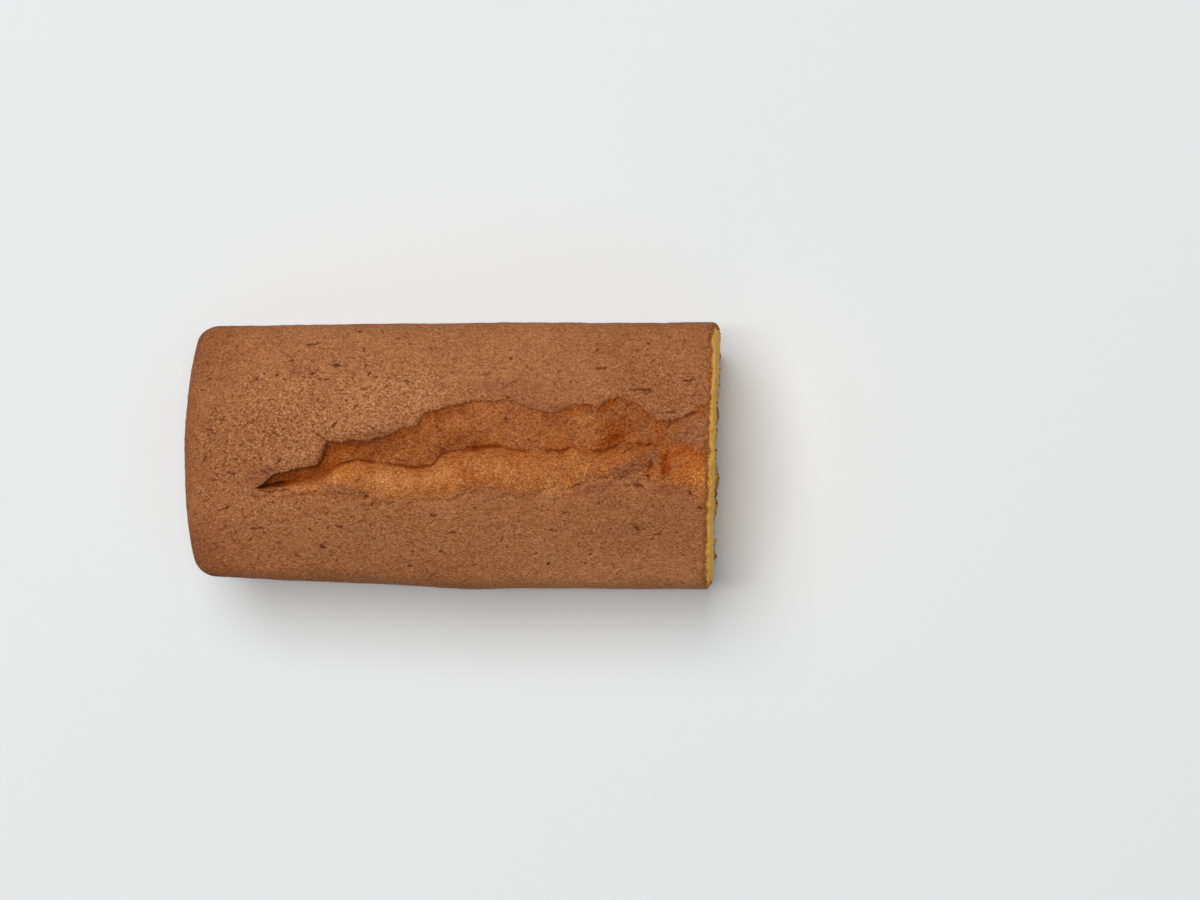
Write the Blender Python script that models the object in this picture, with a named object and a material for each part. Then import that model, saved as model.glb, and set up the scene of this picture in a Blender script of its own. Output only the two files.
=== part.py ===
"""A yogurt loaf cake, baked in a tapered tin, with its right end sliced off.

The loaf lies along X with the cut end at +X, stands on its base at Z = 0, and is one solid. It
starts as a cube cut into a grid, whose vertices are then moved by functions: the walls lean out
from a narrow base, the crust rounds over a shoulder into a domed crown, and a long burst splits
the crown from near the closed end to the cut.

Units are metres, +Z is up, and the origin is the middle of the loaf's box at its base.
"""

import math

import bmesh
import bpy
import numpy as np
from mathutils import Vector, noise

# The loaf's body.
LENGTH = 0.1990  # along the crown, from the closed end to the cut
CLOSED_END_X = -0.1032  # the closed end's furthest point before the mesh is centred
SHOULDER_HALF = 0.0516  # half the width at the top of the walls
BASE_HALF = 0.0400  # half the width at the base
WALL_HEIGHT = 0.0450  # base to shoulder
CROWN_RISE = 0.0210  # shoulder to the top of the crown
CROWN_POWER = 1.9  # how the crown falls away to the sides
CROWN_SOFTNESS = 0.10  # rounds the crown's ridge, as a share of the half width
CROWN_RUN = 0.075  # how far from the closed end the crown takes to reach its height
CROWN_RUN_POWER = 2.2

# The closed end and the sides.
CORNER_RADIUS = 0.0110  # the upright corners, seen from above
SHOULDER_RADIUS = 0.0070
BASE_RADIUS = 0.0035
END_BOW = 0.0052  # how much the closed end bulges between its corners
END_LEAN = 0.0090  # how far the closed end leans out over its base
NEAR_NARROWING = 0.0056  # how much the -Y side draws in towards the closed end
FAR_NARROWING = 0.0014  # and the +Y side
NARROWING_RUN = 0.1060  # the length over which both do
BASE_ARCH = 0.0022  # how far the middle of the base stands clear of the table
BASE_BAND = 0.42  # the share of the half base that lies flat, at each side

# The cut.
CUT_LEAN = 0.065  # how far the cut slopes out, for each unit down from the crown
CUT_SKEW = 0.034  # how far it turns out, for each unit towards +Y

# The burst: (x, y) points of its edges, in millimetres from the middle of the loaf.
UPPER_LIP = (
    (-102, 14), (-77, -8), (-72, -11.4), (-66, -7), (-60, -5.1), (-52, -4), (-49, -1.4),
    (-47, 5), (-31, 5.6), (-22.5, 8.2), (-18, 10.8), (-13.5, 10.6), (-12, 15.4), (-4.5, 17.8),
    (7, 20.2), (20, 20.8), (26, 18.5), (36.5, 15.3), (43, 19.5), (54, 18.6), (61, 21.2),
    (68, 18.8), (76, 13), (90, 16), (100, 21),
)  # fmt: skip
CREASE = (
    (-102, -2), (-77, -11), (-72, -12.2), (-62, -10.2), (-50, -8.8), (-43, -4), (-36, -1.6),
    (-29, -2.9), (-13, -4.6), (-8, -4.2), (-4, 0.8), (15, 3.4), (25, 1.5), (40, 1.5), (45, 3),
    (51, 1.2), (63.5, 6), (67, 3.4), (74, 3.4), (80, 0.5), (100, 0.4),
)  # fmt: skip
LOWER_LIP = (
    (-102, -18), (-77, -14), (-72, -13), (-57, -14), (-38, -15.6), (-20, -18.1), (3, -15.1),
    (9, -12.5), (24, -14.6), (43, -13.6), (50, -9.4), (70, -7.7), (77, -11.1), (87, -13.3),
    (90, -17.5), (100, -17.8),
)  # fmt: skip
# How deep the burst is along the loaf: (x, depth) points in millimetres.
LIP_DROP = (
    (-74, 0), (-70, 3.0), (-60, 3.6), (-50, 3.0), (-45, 2.4), (-18, 2.4), (-11, 3.0), (0, 2.3),
    (20, 2.7), (40, 2.8), (60, 2.4), (68, 1.2), (76, 0.3), (84, 0.8), (100, 0.6),
)  # fmt: skip
CREASE_DEPTH = (
    (-74, 0), (-70, 4.6), (-61, 6.0), (-45, 5.4), (-20, 4.8), (2, 5.5), (30, 4.9), (55, 5.1),
    (64, 5.0), (74, 3.2), (80, 1.8), (100, 1.1),
)  # fmt: skip
BULGE = 0.0011  # how far the lower slope swells between the crease and the lower lip
BULGE_POWER = 2.4
UPPER_SLOPE_POWER = 0.85
LIP_WIDTH = 0.0009  # how far the steep face under the upper lip runs, seen from above

# Unevenness of the whole crust.
LUMP_HEIGHT = 0.0005
LUMP_SCALE = 45.0  # lumps a metre

# The grid: how many cells the cube is cut into. The top's rows keep to the burst's edges.
CELLS_LONG = 60
CELLS_HIGH = 8
ROWS_NEAR = 9  # from the -Y side to the lower lip
ROWS_BULGE = 6
ROWS_SLOPE = 6
ROWS_LIP = 1
ROWS_FAR = 8  # from the upper lip to the +Y side
ROWS = ROWS_NEAR + ROWS_BULGE + ROWS_SLOPE + ROWS_LIP + ROWS_FAR
COLUMN_CROWDING = 0.6  # how much the columns crowd towards the closed end
FLAT_ANGLE = math.radians(0.4)  # faces that turn less than this are merged

CRUST_COLOUR = (0.330, 0.130, 0.051, 1.0)
CRUMB_COLOUR = (0.820, 0.570, 0.110, 1.0)
CRUST_ROUGHNESS = 0.62
CRUMB_ROUGHNESS = 0.85


def clear_scene():
    """Removes every object that is in the scene."""
    for obj in list(bpy.data.objects):
        bpy.data.objects.remove(obj, do_unlink=True)


def make_material(name, colour, roughness):
    """A plain food surface of one colour."""
    material = bpy.data.materials.new(name)
    material.use_nodes = True
    shader = material.node_tree.nodes["Principled BSDF"]
    shader.inputs["Base Color"].default_value = colour
    shader.inputs["Roughness"].default_value = roughness
    shader.inputs["Metallic"].default_value = 0.0
    return material


def along(points, x):
    """Reads a line of (x, value) points in millimetres at x in metres, in metres."""
    places, values = zip(*points)
    return float(np.interp(x * 1000, places, values)) / 1000


def mix(a, b, share):
    """The value that lies that share of the way from a to b."""
    return a + (b - a) * share


def eased(share):
    """A share from 0 to 1 that leaves 0 and reaches 1 gently, so that rows crowd there."""
    return (1 - math.cos(math.pi * share)) / 2


def half_width(x, side):
    """Half the width at the shoulder, on the +Y side (side > 0) or the -Y side."""
    share = min(max(-(x - 0.004) / NARROWING_RUN, 0.0), 1.0)
    return SHOULDER_HALF - (FAR_NARROWING if side > 0 else NEAR_NARROWING) * share


def row_place(row, x):
    """Where a row of the top lies across the loaf, -1 to 1, keeping to the burst's edges."""
    near, far = half_width(x, -1), half_width(x, 1)
    low, crease, lip = (along(line, x) for line in (LOWER_LIP, CREASE, UPPER_LIP))
    if row <= ROWS_NEAR:
        share = math.sin(math.pi / 2 * row / ROWS_NEAR)
        y = mix(-near, low, 1 - math.cos(math.pi / 2 * share))
    elif row <= ROWS_NEAR + ROWS_BULGE:
        y = mix(low, crease, (row - ROWS_NEAR) / ROWS_BULGE)
    elif row <= ROWS_NEAR + ROWS_BULGE + ROWS_SLOPE:
        share = (row - ROWS_NEAR - ROWS_BULGE) / ROWS_SLOPE
        y = mix(crease, lip - LIP_WIDTH, share)
    else:
        share = (row - ROWS + ROWS_FAR) / ROWS_FAR
        y = mix(lip, far, math.sin(math.pi / 2 * share))
    return y / (far if y > 0 else near)


def burst_depth(row, x):
    """How far the burst lies below the crust on one of the top's rows."""
    drop, depth = along(LIP_DROP, x), along(CREASE_DEPTH, x)
    if ROWS_NEAR < row <= ROWS_NEAR + ROWS_BULGE:
        share = (row - ROWS_NEAR) / ROWS_BULGE
        swell = BULGE * math.sin(math.pi * share) * min(depth / 0.004, 1)
        return depth * share**BULGE_POWER - swell
    if ROWS_NEAR + ROWS_BULGE < row <= ROWS_NEAR + ROWS_BULGE + ROWS_SLOPE:
        share = (row - ROWS_NEAR - ROWS_BULGE) / ROWS_SLOPE
        return mix(depth, drop, share**UPPER_SLOPE_POWER)
    return 0.0


def round_over(inset, drop, radius):
    """Turns the square edge that lies at inset 0, drop 0 into an arc. Returns (inset, drop)."""
    if inset >= radius or drop >= radius:
        return inset, drop
    across, down = radius - inset, radius - drop
    scale = max(across, down) / math.hypot(across, down)
    return radius - across * scale, radius - down * scale


def crown(x_inset, across):
    """How far the crown stands above the shoulder, at a share across from -1 to 1."""
    run = 1 - (1 - min(x_inset / CROWN_RUN, 1.0)) ** CROWN_RUN_POWER
    fall = math.hypot(across, CROWN_SOFTNESS) ** CROWN_POWER - CROWN_SOFTNESS**CROWN_POWER
    reach = math.hypot(1, CROWN_SOFTNESS) ** CROWN_POWER - CROWN_SOFTNESS**CROWN_POWER
    return CROWN_RISE * run * (1 - fall / reach)


def base_arch(across):
    """How far the base stands clear of the table, at a share across from -1 to 1."""
    span = 1 - BASE_BAND
    return BASE_ARCH * max(1 - (across / span) ** 2, 0.0) ** 2


def place(column, row, layer):
    """The point of the loaf for one vertex of the grid, counted in cells from its corner."""
    share = column / CELLS_LONG
    crowded = 1 - math.cos(math.pi / 2 * share)
    x_inset = LENGTH * mix(share, crowded, COLUMN_CROWDING)
    x = CLOSED_END_X + x_inset
    height = WALL_HEIGHT * eased(layer / CELLS_HIGH)
    upness = height / WALL_HEIGHT

    plain = math.sin(math.pi / 2 * (2 * row / ROWS - 1))
    across = mix(plain, row_place(row, x), upness)
    side = 1 if across > 0 else -1
    width = half_width(x, side)
    y_inset = (1 - abs(across)) * width

    # The edges along the shoulder and the base, then the upright corners at the closed end.
    nearest = min(x_inset, y_inset)
    inset, drop = round_over(nearest, WALL_HEIGHT - height, SHOULDER_RADIUS)
    inset, lift = round_over(inset, WALL_HEIGHT - drop, BASE_RADIUS)
    height = lift
    for_x = max(1 - (x_inset - nearest) / CORNER_RADIUS, 0)
    for_y = max(1 - (y_inset - nearest) / CORNER_RADIUS, 0)
    x_inset, y_inset = x_inset + (inset - nearest) * for_x, y_inset + (inset - nearest) * for_y
    x_inset, y_inset = round_over(x_inset, y_inset, CORNER_RADIUS)

    across = side * (1 - y_inset / width)
    z = height + (crown(x_inset, across) - burst_depth(row, x)) * upness
    z += base_arch(across) * (1 - upness) ** 4
    lean = mix(BASE_HALF / SHOULDER_HALF, 1, height / WALL_HEIGHT)
    y = across * width * lean

    closed = CLOSED_END_X + END_BOW * across**2 + END_LEAN * (1 - height / WALL_HEIGHT)
    cut = CLOSED_END_X + LENGTH + CUT_SKEW * y + CUT_LEAN * (WALL_HEIGHT + CROWN_RISE - z)
    x = mix(closed, cut, x_inset / LENGTH)
    return Vector((x, y, z))


def lump(point):
    """The crust's slow unevenness at a point."""
    return LUMP_HEIGHT * noise.noise(point * LUMP_SCALE)


def grid_box():
    """A cube of one unit from the origin, cut into the grid's cells."""
    bm = bmesh.new()
    bmesh.ops.create_cube(bm, size=1.0)
    bmesh.ops.translate(bm, verts=bm.verts, vec=(0.5, 0.5, 0.5))
    for axis, cells in enumerate((CELLS_LONG, ROWS, CELLS_HIGH)):
        edges = [e for e in bm.edges if e.verts[0].co[axis] != e.verts[1].co[axis]]
        bmesh.ops.subdivide_edges(bm, edges=edges, cuts=cells - 1, use_grid_fill=True)
    return bm


def shape(bm):
    """Moves the grid's vertices to the loaf's surface, then centres it on its box."""
    cells = Vector((CELLS_LONG, ROWS, CELLS_HIGH))
    for vert in bm.verts:
        column, row, layer = (round(c * n) for c, n in zip(vert.co, cells))
        point = place(column, row, layer)
        raised = min(point.z / WALL_HEIGHT, 1.0)
        away_from_cut = min((CELLS_LONG - column) / 3, 1.0)
        push = lump(point) * raised * away_from_cut
        vert.co = point + Vector((0, math.copysign(push, point.y), push))
    lows, highs = (Vector(f(v.co[i] for v in bm.verts) for i in range(3)) for f in (min, max))
    middle = (lows + highs) / 2
    bmesh.ops.translate(bm, verts=bm.verts, vec=(-middle.x, -middle.y, -lows.z))


def flatten_cut_and_base(bm):
    """Merges the cells of the cut and of the base where they lie in one plane."""
    bm.normal_update()
    for direction, least in ((Vector((1, 0, 0)), 0.99), (Vector((0, 0, -1)), 0.995)):
        faces = {f for f in bm.faces if f.normal.dot(direction) > least}
        edges = {e for f in faces for e in f.edges if faces.issuperset(e.link_faces)}
        verts = {v for f in faces for v in f.verts if faces.issuperset(v.link_faces)}
        bmesh.ops.dissolve_limit(
            bm, angle_limit=FLAT_ANGLE, verts=list(verts), edges=list(edges)
        )


def make_cake(collection):
    """The loaf as one closed solid, crust outside and crumb on the cut."""
    bm = grid_box()
    shape(bm)
    flatten_cut_and_base(bm)
    bmesh.ops.recalc_face_normals(bm, faces=bm.faces)
    mesh = bpy.data.meshes.new("cake")
    bm.to_mesh(mesh)
    bm.free()
    mesh.materials.append(make_material("crust", CRUST_COLOUR, CRUST_ROUGHNESS))
    mesh.materials.append(make_material("crumb", CRUMB_COLOUR, CRUMB_ROUGHNESS))
    for face in mesh.polygons:
        face.material_index = 1 if face.normal.x > 0.97 else 0
    mesh.shade_smooth()
    mesh.set_sharp_from_angle(angle=math.radians(35))
    cake = bpy.data.objects.new("cake", mesh)
    collection.objects.link(cake)
    return cake


def main():
    """Builds the loaf in a collection of its own."""
    clear_scene()
    collection = bpy.data.collections.new("yogurt_loaf_cake")
    bpy.context.scene.collection.children.link(collection)
    make_cake(collection)


main()
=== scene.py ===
"""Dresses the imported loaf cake: a browned crust, its long burst, and a cut that shows the crumb.

Every surface is a function of two parameters on a grid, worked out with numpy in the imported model's
frame. A piece's visible side is one grid, and the piece is closed behind by faces that meet on a
hidden line inside the loaf. Lengths are in metres, and +Z is up.
"""

import functools  # noqa: E402
import logging  # noqa: E402
import math  # noqa: E402
from dataclasses import dataclass, field  # noqa: E402
from enum import Enum  # noqa: E402
from typing import Any  # noqa: E402

import bpy  # noqa: E402
import numpy as np  # noqa: E402
from numpy.typing import NDArray  # noqa: E402
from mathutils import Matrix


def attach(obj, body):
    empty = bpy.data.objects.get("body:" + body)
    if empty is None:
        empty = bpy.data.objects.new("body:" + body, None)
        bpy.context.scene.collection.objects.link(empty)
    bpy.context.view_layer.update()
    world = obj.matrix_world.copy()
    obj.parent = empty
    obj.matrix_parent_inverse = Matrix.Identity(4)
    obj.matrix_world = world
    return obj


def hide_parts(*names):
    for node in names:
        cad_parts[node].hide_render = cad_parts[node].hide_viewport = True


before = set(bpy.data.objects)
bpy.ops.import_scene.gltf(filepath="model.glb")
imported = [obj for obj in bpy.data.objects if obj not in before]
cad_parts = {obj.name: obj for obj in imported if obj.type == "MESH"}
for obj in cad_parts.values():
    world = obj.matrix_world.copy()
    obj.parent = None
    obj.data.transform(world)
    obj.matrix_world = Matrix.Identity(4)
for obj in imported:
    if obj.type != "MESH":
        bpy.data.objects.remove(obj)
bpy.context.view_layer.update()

Array = NDArray[np.float64]
Pair = tuple[float, float]
Triple = tuple[float, float, float]
Colour = tuple[float, float, float, float]
Palette = tuple[tuple[float, Colour], ...]
Line = tuple[Pair, ...]
Inputs = dict[str | int, Any]
Spine = tuple[Triple, Triple]

LOG = logging.getLogger("loaf_cake")
MM = 0.001
BODY = "root"
NODE = "cake"


class Slot(Enum):
    """The two finishes: crust and crumb."""

    CRUST = "crust"
    CRUMB = "crumb"


def tone(red: float, green: float, blue: float) -> Colour:
    """Turns a display colour with parts from 0 to 255 into linear light."""
    parts = (part / 255 for part in (red, green, blue))
    return (*(c / 12.92 if c <= 0.04045 else ((c + 0.055) / 1.055) ** 2.4 for c in parts), 1.0)


def palette(*stops: tuple[float, float, float, float]) -> Palette:
    """A palette from rows of a place along it, from 0 to 1, and a display colour."""
    return tuple((place, tone(*parts)) for place, *parts in stops)


def mix(a: Any, b: Any, share: Any) -> Any:
    """The value that lies that share of the way from a to b."""
    return a + (b - a) * share


def smooth(low: float, high: float, value: Array) -> Array:
    """Goes gently from 0 at low to 1 at high, either way up: 3t^2 - 2t^3 of the held share t."""
    share = np.clip((value - low) / (high - low), 0.0, 1.0)
    return share * share * (3 - 2 * share)


def between(value: Array, rise: Pair, fall: Pair) -> Array:
    """Is 1 between two places, with a gentle rise before and a gentle fall after."""
    return smooth(*rise, value) * smooth(*fall, value)


def bell(value: Array, width: Any, power: float = 2.0) -> Array:
    """A bell that is 1 where the value is 0: e to minus the power of value over width."""
    return np.exp(-(np.abs(value / width) ** power))


def turned(dx: Array, dy: Array, degrees: float) -> tuple[Array, Array]:
    """Steps in x and y, read along and across a line that is turned by that angle."""
    c, s = math.cos(math.radians(degrees)), math.sin(math.radians(degrees))
    return dx * c + dy * s, dy * c - dx * s


# --- Noise: random values that belong to places in space, so that neighbouring pieces agree ---


@dataclass(frozen=True)
class Noise:
    """Smooth and cellular noise of position. Each lattice corner has a hashed value."""

    seed: int = 1

    def hashed(self, cells: NDArray[np.int64], salt: int = 0) -> Array:
        """A value from 0 to 1 for each whole-numbered cell: its parts' products, mixed bit by bit.

        Args:
            cells: whole numbers, with x, y and z on the last axis.
            salt: picks another set of values for the same cells.

        Returns:
            One value for each cell.
        """
        c = cells.astype(np.uint32)
        h = c[..., 0] * np.uint32(374761393) + c[..., 1] * np.uint32(668265263)
        h += c[..., 2] * np.uint32(2246822519) + np.uint32(self.seed * 7919 + salt * 104729)
        h = (h ^ (h >> np.uint32(13))) * np.uint32(1274126177)
        h = (h ^ (h >> np.uint32(16))) * np.uint32(2654435761)
        h ^= h >> np.uint32(15)
        return h.astype(np.float64) / 4294967295.0

    def value(self, points: Array, size: float) -> Array:
        """Value noise from -1 to 1: the eight corners of each lattice cell, blended with an ease.

        Args:
            points: positions, with x, y and z on the last axis.
            size: the lattice's cell size.

        Returns:
            One value for each point.
        """
        scaled = points / size
        cell = np.floor(scaled).astype(np.int64)
        t = scaled - cell
        t = t * t * t * (t * (t * 6 - 15) + 10)
        total = np.zeros(points.shape[:-1])
        for corner in range(8):
            step = np.array([corner & 1, corner >> 1 & 1, corner >> 2 & 1])
            weight = np.prod(np.where(step == 1, t, 1 - t), axis=-1)
            total += weight * self.hashed(cell + step)
        return total * 2 - 1

    def fractal(self, points: Array, size: float, octaves: int) -> Array:
        """A sum of value noise, each octave half the size and half the height of the one before."""
        waves = [self.value(points + 7.3 * i, size / 2**i) / 2**i for i in range(octaves)]
        return np.sum(waves, axis=0)

    def layers(self, points: Array, *waves: Pair) -> Array:
        """A sum of value noise, each wave with its own height and its size in millimetres."""
        return sum(height * self.value(points, size * MM) for height, size in waves)

    def cells(self, points: Array, size: float) -> tuple[Array, Array]:
        """Cellular noise: each lattice cell holds one scattered point.

        Args:
            points: positions, with x, y and z on the last axis.
            size: the lattice's cell size.

        Returns:
            The distance to the nearest scattered point, as a share of size, and that point's own
            value from 0 to 1.
        """
        scaled = points / size
        cell = np.floor(scaled).astype(np.int64)
        nearest = np.full(points.shape[:-1], 9.0)
        value = np.zeros(points.shape[:-1])
        for step in np.ndindex(3, 3, 3):
            other = cell + (np.array(step) - 1)
            spot = np.stack([self.hashed(other, salt) for salt in (1, 2, 3)], axis=-1)
            away = np.linalg.norm(other + spot - scaled, axis=-1)
            closer = away < nearest
            nearest = np.where(closer, away, nearest)
            value = np.where(closer, self.hashed(other, 4), value)
        return nearest, value


# --- The loaf's body ---


@dataclass(frozen=True)
class LoafForm:
    """The loaf's body: walls that lean out from the base, a rounded shoulder and a domed crown."""

    length: float = 0.1968
    closed_end: float = -0.1035
    shoulder_half: float = 0.0516
    base_half: float = 0.0400
    wall_height: float = 0.0450
    crown_rise: float = 0.0210
    crown_power: float = 1.9
    crown_softness: float = 0.10
    crown_run: float = 0.075
    crown_run_power: float = 2.2
    far_corner_radius: float = 0.0066
    near_corner_radius: float = 0.0066
    shoulder_radius: float = 0.0070
    base_radius: float = 0.0035
    far_bow: float = 0.0070
    near_bow: float = 0.0056
    bow_power: float = 2.6
    end_lean: float = 0.0090
    near_narrowing: float = 0.0050
    far_narrowing: float = 0.0014
    near_extra: float = 0.0005
    narrowing_start: float = 0.004
    narrowing_run: float = 0.1060
    base_arch: float = 0.0022
    base_band: float = 0.42
    cut_lean: float = 0.034
    cut_skew: float = 0.030
    cut_swell: float = 0.0031
    swell_shares: Triple = (0.34, 0.46, 0.20)
    quick_depth: float = 1.1  # in millimetres, as the next three are
    ease_depths: Pair = (1.0, 4.6)
    slow_depth: float = 9.0
    belly_depths: Pair = (3.0, 13.0)
    cut_ragged_waves: Line = ((1.0, 2.6), (0.7, 1.1))  # each one's share, and its millimetres
    cut_belly: float = 0.0007
    belly_sides: Pair = (0.020, 0.044)
    cut_corner_radius: float = 0.0016
    cut_ragged: float = 0.00024
    cut_edge_width: float = 0.024
    core: Spine = ((-0.0815, -0.030, 0.014), (np.inf, 0.030, 0.030))  # a box inside the loaf
    noise: Noise = Noise(29)

    @property
    def cut_place(self) -> float:
        """Where the cut stands, before its lean and its skew."""
        return self.closed_end + self.length

    def half_width(self, x: Array, side: Array) -> Array:
        """Half the width at the shoulder, drawn in towards the closed end.

        Args:
            x: places along the loaf.
            side: above 0 for the +Y side, and below 0 for the -Y side.

        Returns:
            The half width at each place.
        """
        share = np.clip(-(x - self.narrowing_start) / self.narrowing_run, 0.0, 1.0)
        narrowing = np.where(side > 0, self.far_narrowing, self.near_narrowing)
        return self.shoulder_half - narrowing * share + np.where(side > 0, 0.0, self.near_extra)

    def round_over(self, inset: Array, drop: Array, radius: Any) -> tuple[Array, Array]:
        """Turns the square edge that lies at inset 0, drop 0 into an arc of that radius.

        Args:
            inset: distances in from the edge.
            drop: distances down from it.
            radius: the arc's radius.

        Returns:
            The inset and the drop on the arc. Points further than the radius stay.
        """
        across, down = radius - inset, radius - drop
        inside = (across > 0) & (down > 0)
        scale = np.maximum(across, down) / np.maximum(np.hypot(across, down), 1e-9)
        return (
            np.where(inside, radius - across * scale, inset),
            np.where(inside, radius - down * scale, drop),
        )

    def crown(self, x_inset: Array, across: Array) -> Array:
        """The crown's height over the shoulder: a power curve across, times a rise along.

        Args:
            x_inset: distances from the closed end.
            across: shares of the half width, -1 to 1.

        Returns:
            The height at each place.
        """
        run = 1 - (1 - np.clip(x_inset / self.crown_run, 0, 1)) ** self.crown_run_power
        soft = self.crown_softness**self.crown_power
        fall = np.hypot(across, self.crown_softness) ** self.crown_power - soft
        reach = math.hypot(1, self.crown_softness) ** self.crown_power - soft
        return self.crown_rise * run * (1 - fall / reach)

    def place(self, x_inset: Array, across: Array, height: Array, depth: Array) -> Array:
        """The loaf's surface point for a point on a box's faces.

        The box's edges are rounded over, the crown is raised on its top and the burst's depth taken
        from it, and the base is arched. The walls lean in towards the base, the closed end bows and
        leans, and the cut leans, runs askew and swells out below its top edge.

        Args:
            x_inset: distance from the closed end, 0 to the length.
            across: share of the half width, -1 to 1.
            height: height on the box, 0 to the wall's height.
            depth: how far the burst lies below the crown.

        Returns:
            Points with x, y and z on a last axis.
        """
        x_inset, across, height, depth = np.broadcast_arrays(x_inset, across, height, depth)
        upness = height / self.wall_height
        side = np.where(across > 0, 1.0, -1.0)
        width = self.half_width(self.closed_end + x_inset, side)
        y_inset = (1 - np.abs(across)) * width
        nearest = np.minimum(x_inset, y_inset)
        inset, drop = self.round_over(nearest, self.wall_height - height, self.shoulder_radius)
        inset, lift = self.round_over(inset, self.wall_height - drop, self.base_radius)
        grown = inset - nearest
        radius = np.where(side > 0, self.far_corner_radius, self.near_corner_radius)
        x_in = x_inset + grown * np.maximum(1 - (x_inset - nearest) / radius, 0)
        y_in = y_inset + grown * np.maximum(1 - (y_inset - nearest) / radius, 0)
        x_in, y_in = self.round_over(x_in, y_in, radius)
        from_cut, y_in = self.round_over(self.length - x_in, y_in, self.cut_corner_radius)
        x_in = self.length - from_cut

        across = side * (1 - y_in / width)
        arch = np.maximum(1 - (across / (1 - self.base_band)) ** 2, 0.0) ** 2
        rise = self.crown(x_in, across) - depth
        z = lift + rise * upness
        z = z + self.base_arch * arch * (1 - upness) ** 4
        y = across * width * mix(self.base_half / self.shoulder_half, 1, lift / self.wall_height)
        low = 1 - lift / self.wall_height
        bow = np.where(side > 0, self.far_bow, self.near_bow) * np.abs(across) ** self.bow_power
        closed = self.closed_end + bow + self.end_lean * low
        top = self.wall_height + self.crown_rise
        cut = self.closed_end + self.length + self.cut_skew * y + self.cut_lean * (top - z)
        x = mix(closed, cut, x_in / self.length)
        near_cut = smooth(self.cut_edge_width, 0.0, from_cut)
        x = x + self.cut_edge(y, z, self.wall_height + rise - z) * near_cut
        return np.stack([x, y, z], axis=-1)

    def cut_edge(self, y: Array, z: Array, buried: Array) -> Array:
        """How far the cut stands out past its top edge.

        Three shares of the swell add up with the depth: a quick exponential, an ease over a few
        millimetres and a slow exponential. An ease further down adds the belly, which is larger
        towards the sides, and noise of two sizes makes it ragged.

        Args:
            y: places across the loaf.
            z: heights.
            buried: depths under the top crust.

        Returns:
            The distance along the loaf.
        """
        deep = np.maximum(buried, 0) / MM
        quick, eased, slow = self.swell_shares
        swell = quick * (1 - np.exp(-deep / self.quick_depth))
        swell = swell + eased * smooth(*self.ease_depths, deep)
        swell = swell + slow * (1 - np.exp(-deep / self.slow_depth))
        sides = 0.6 + 0.9 * smooth(*self.belly_sides, np.abs(y))
        belly = self.cut_belly * smooth(*self.belly_depths, deep) * sides
        ragged = self.noise.layers(np.stack([0 * y, y, z], axis=-1), *self.cut_ragged_waves)
        return self.cut_swell * swell + belly + self.cut_ragged * ragged

    def outward(self, points: Array) -> Array:
        """The way out of the loaf at each point: away from the nearest point of its core."""
        away = points - np.clip(points, *self.core)
        return away / np.maximum(np.linalg.norm(away, axis=-1, keepdims=True), 1e-9)


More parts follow.
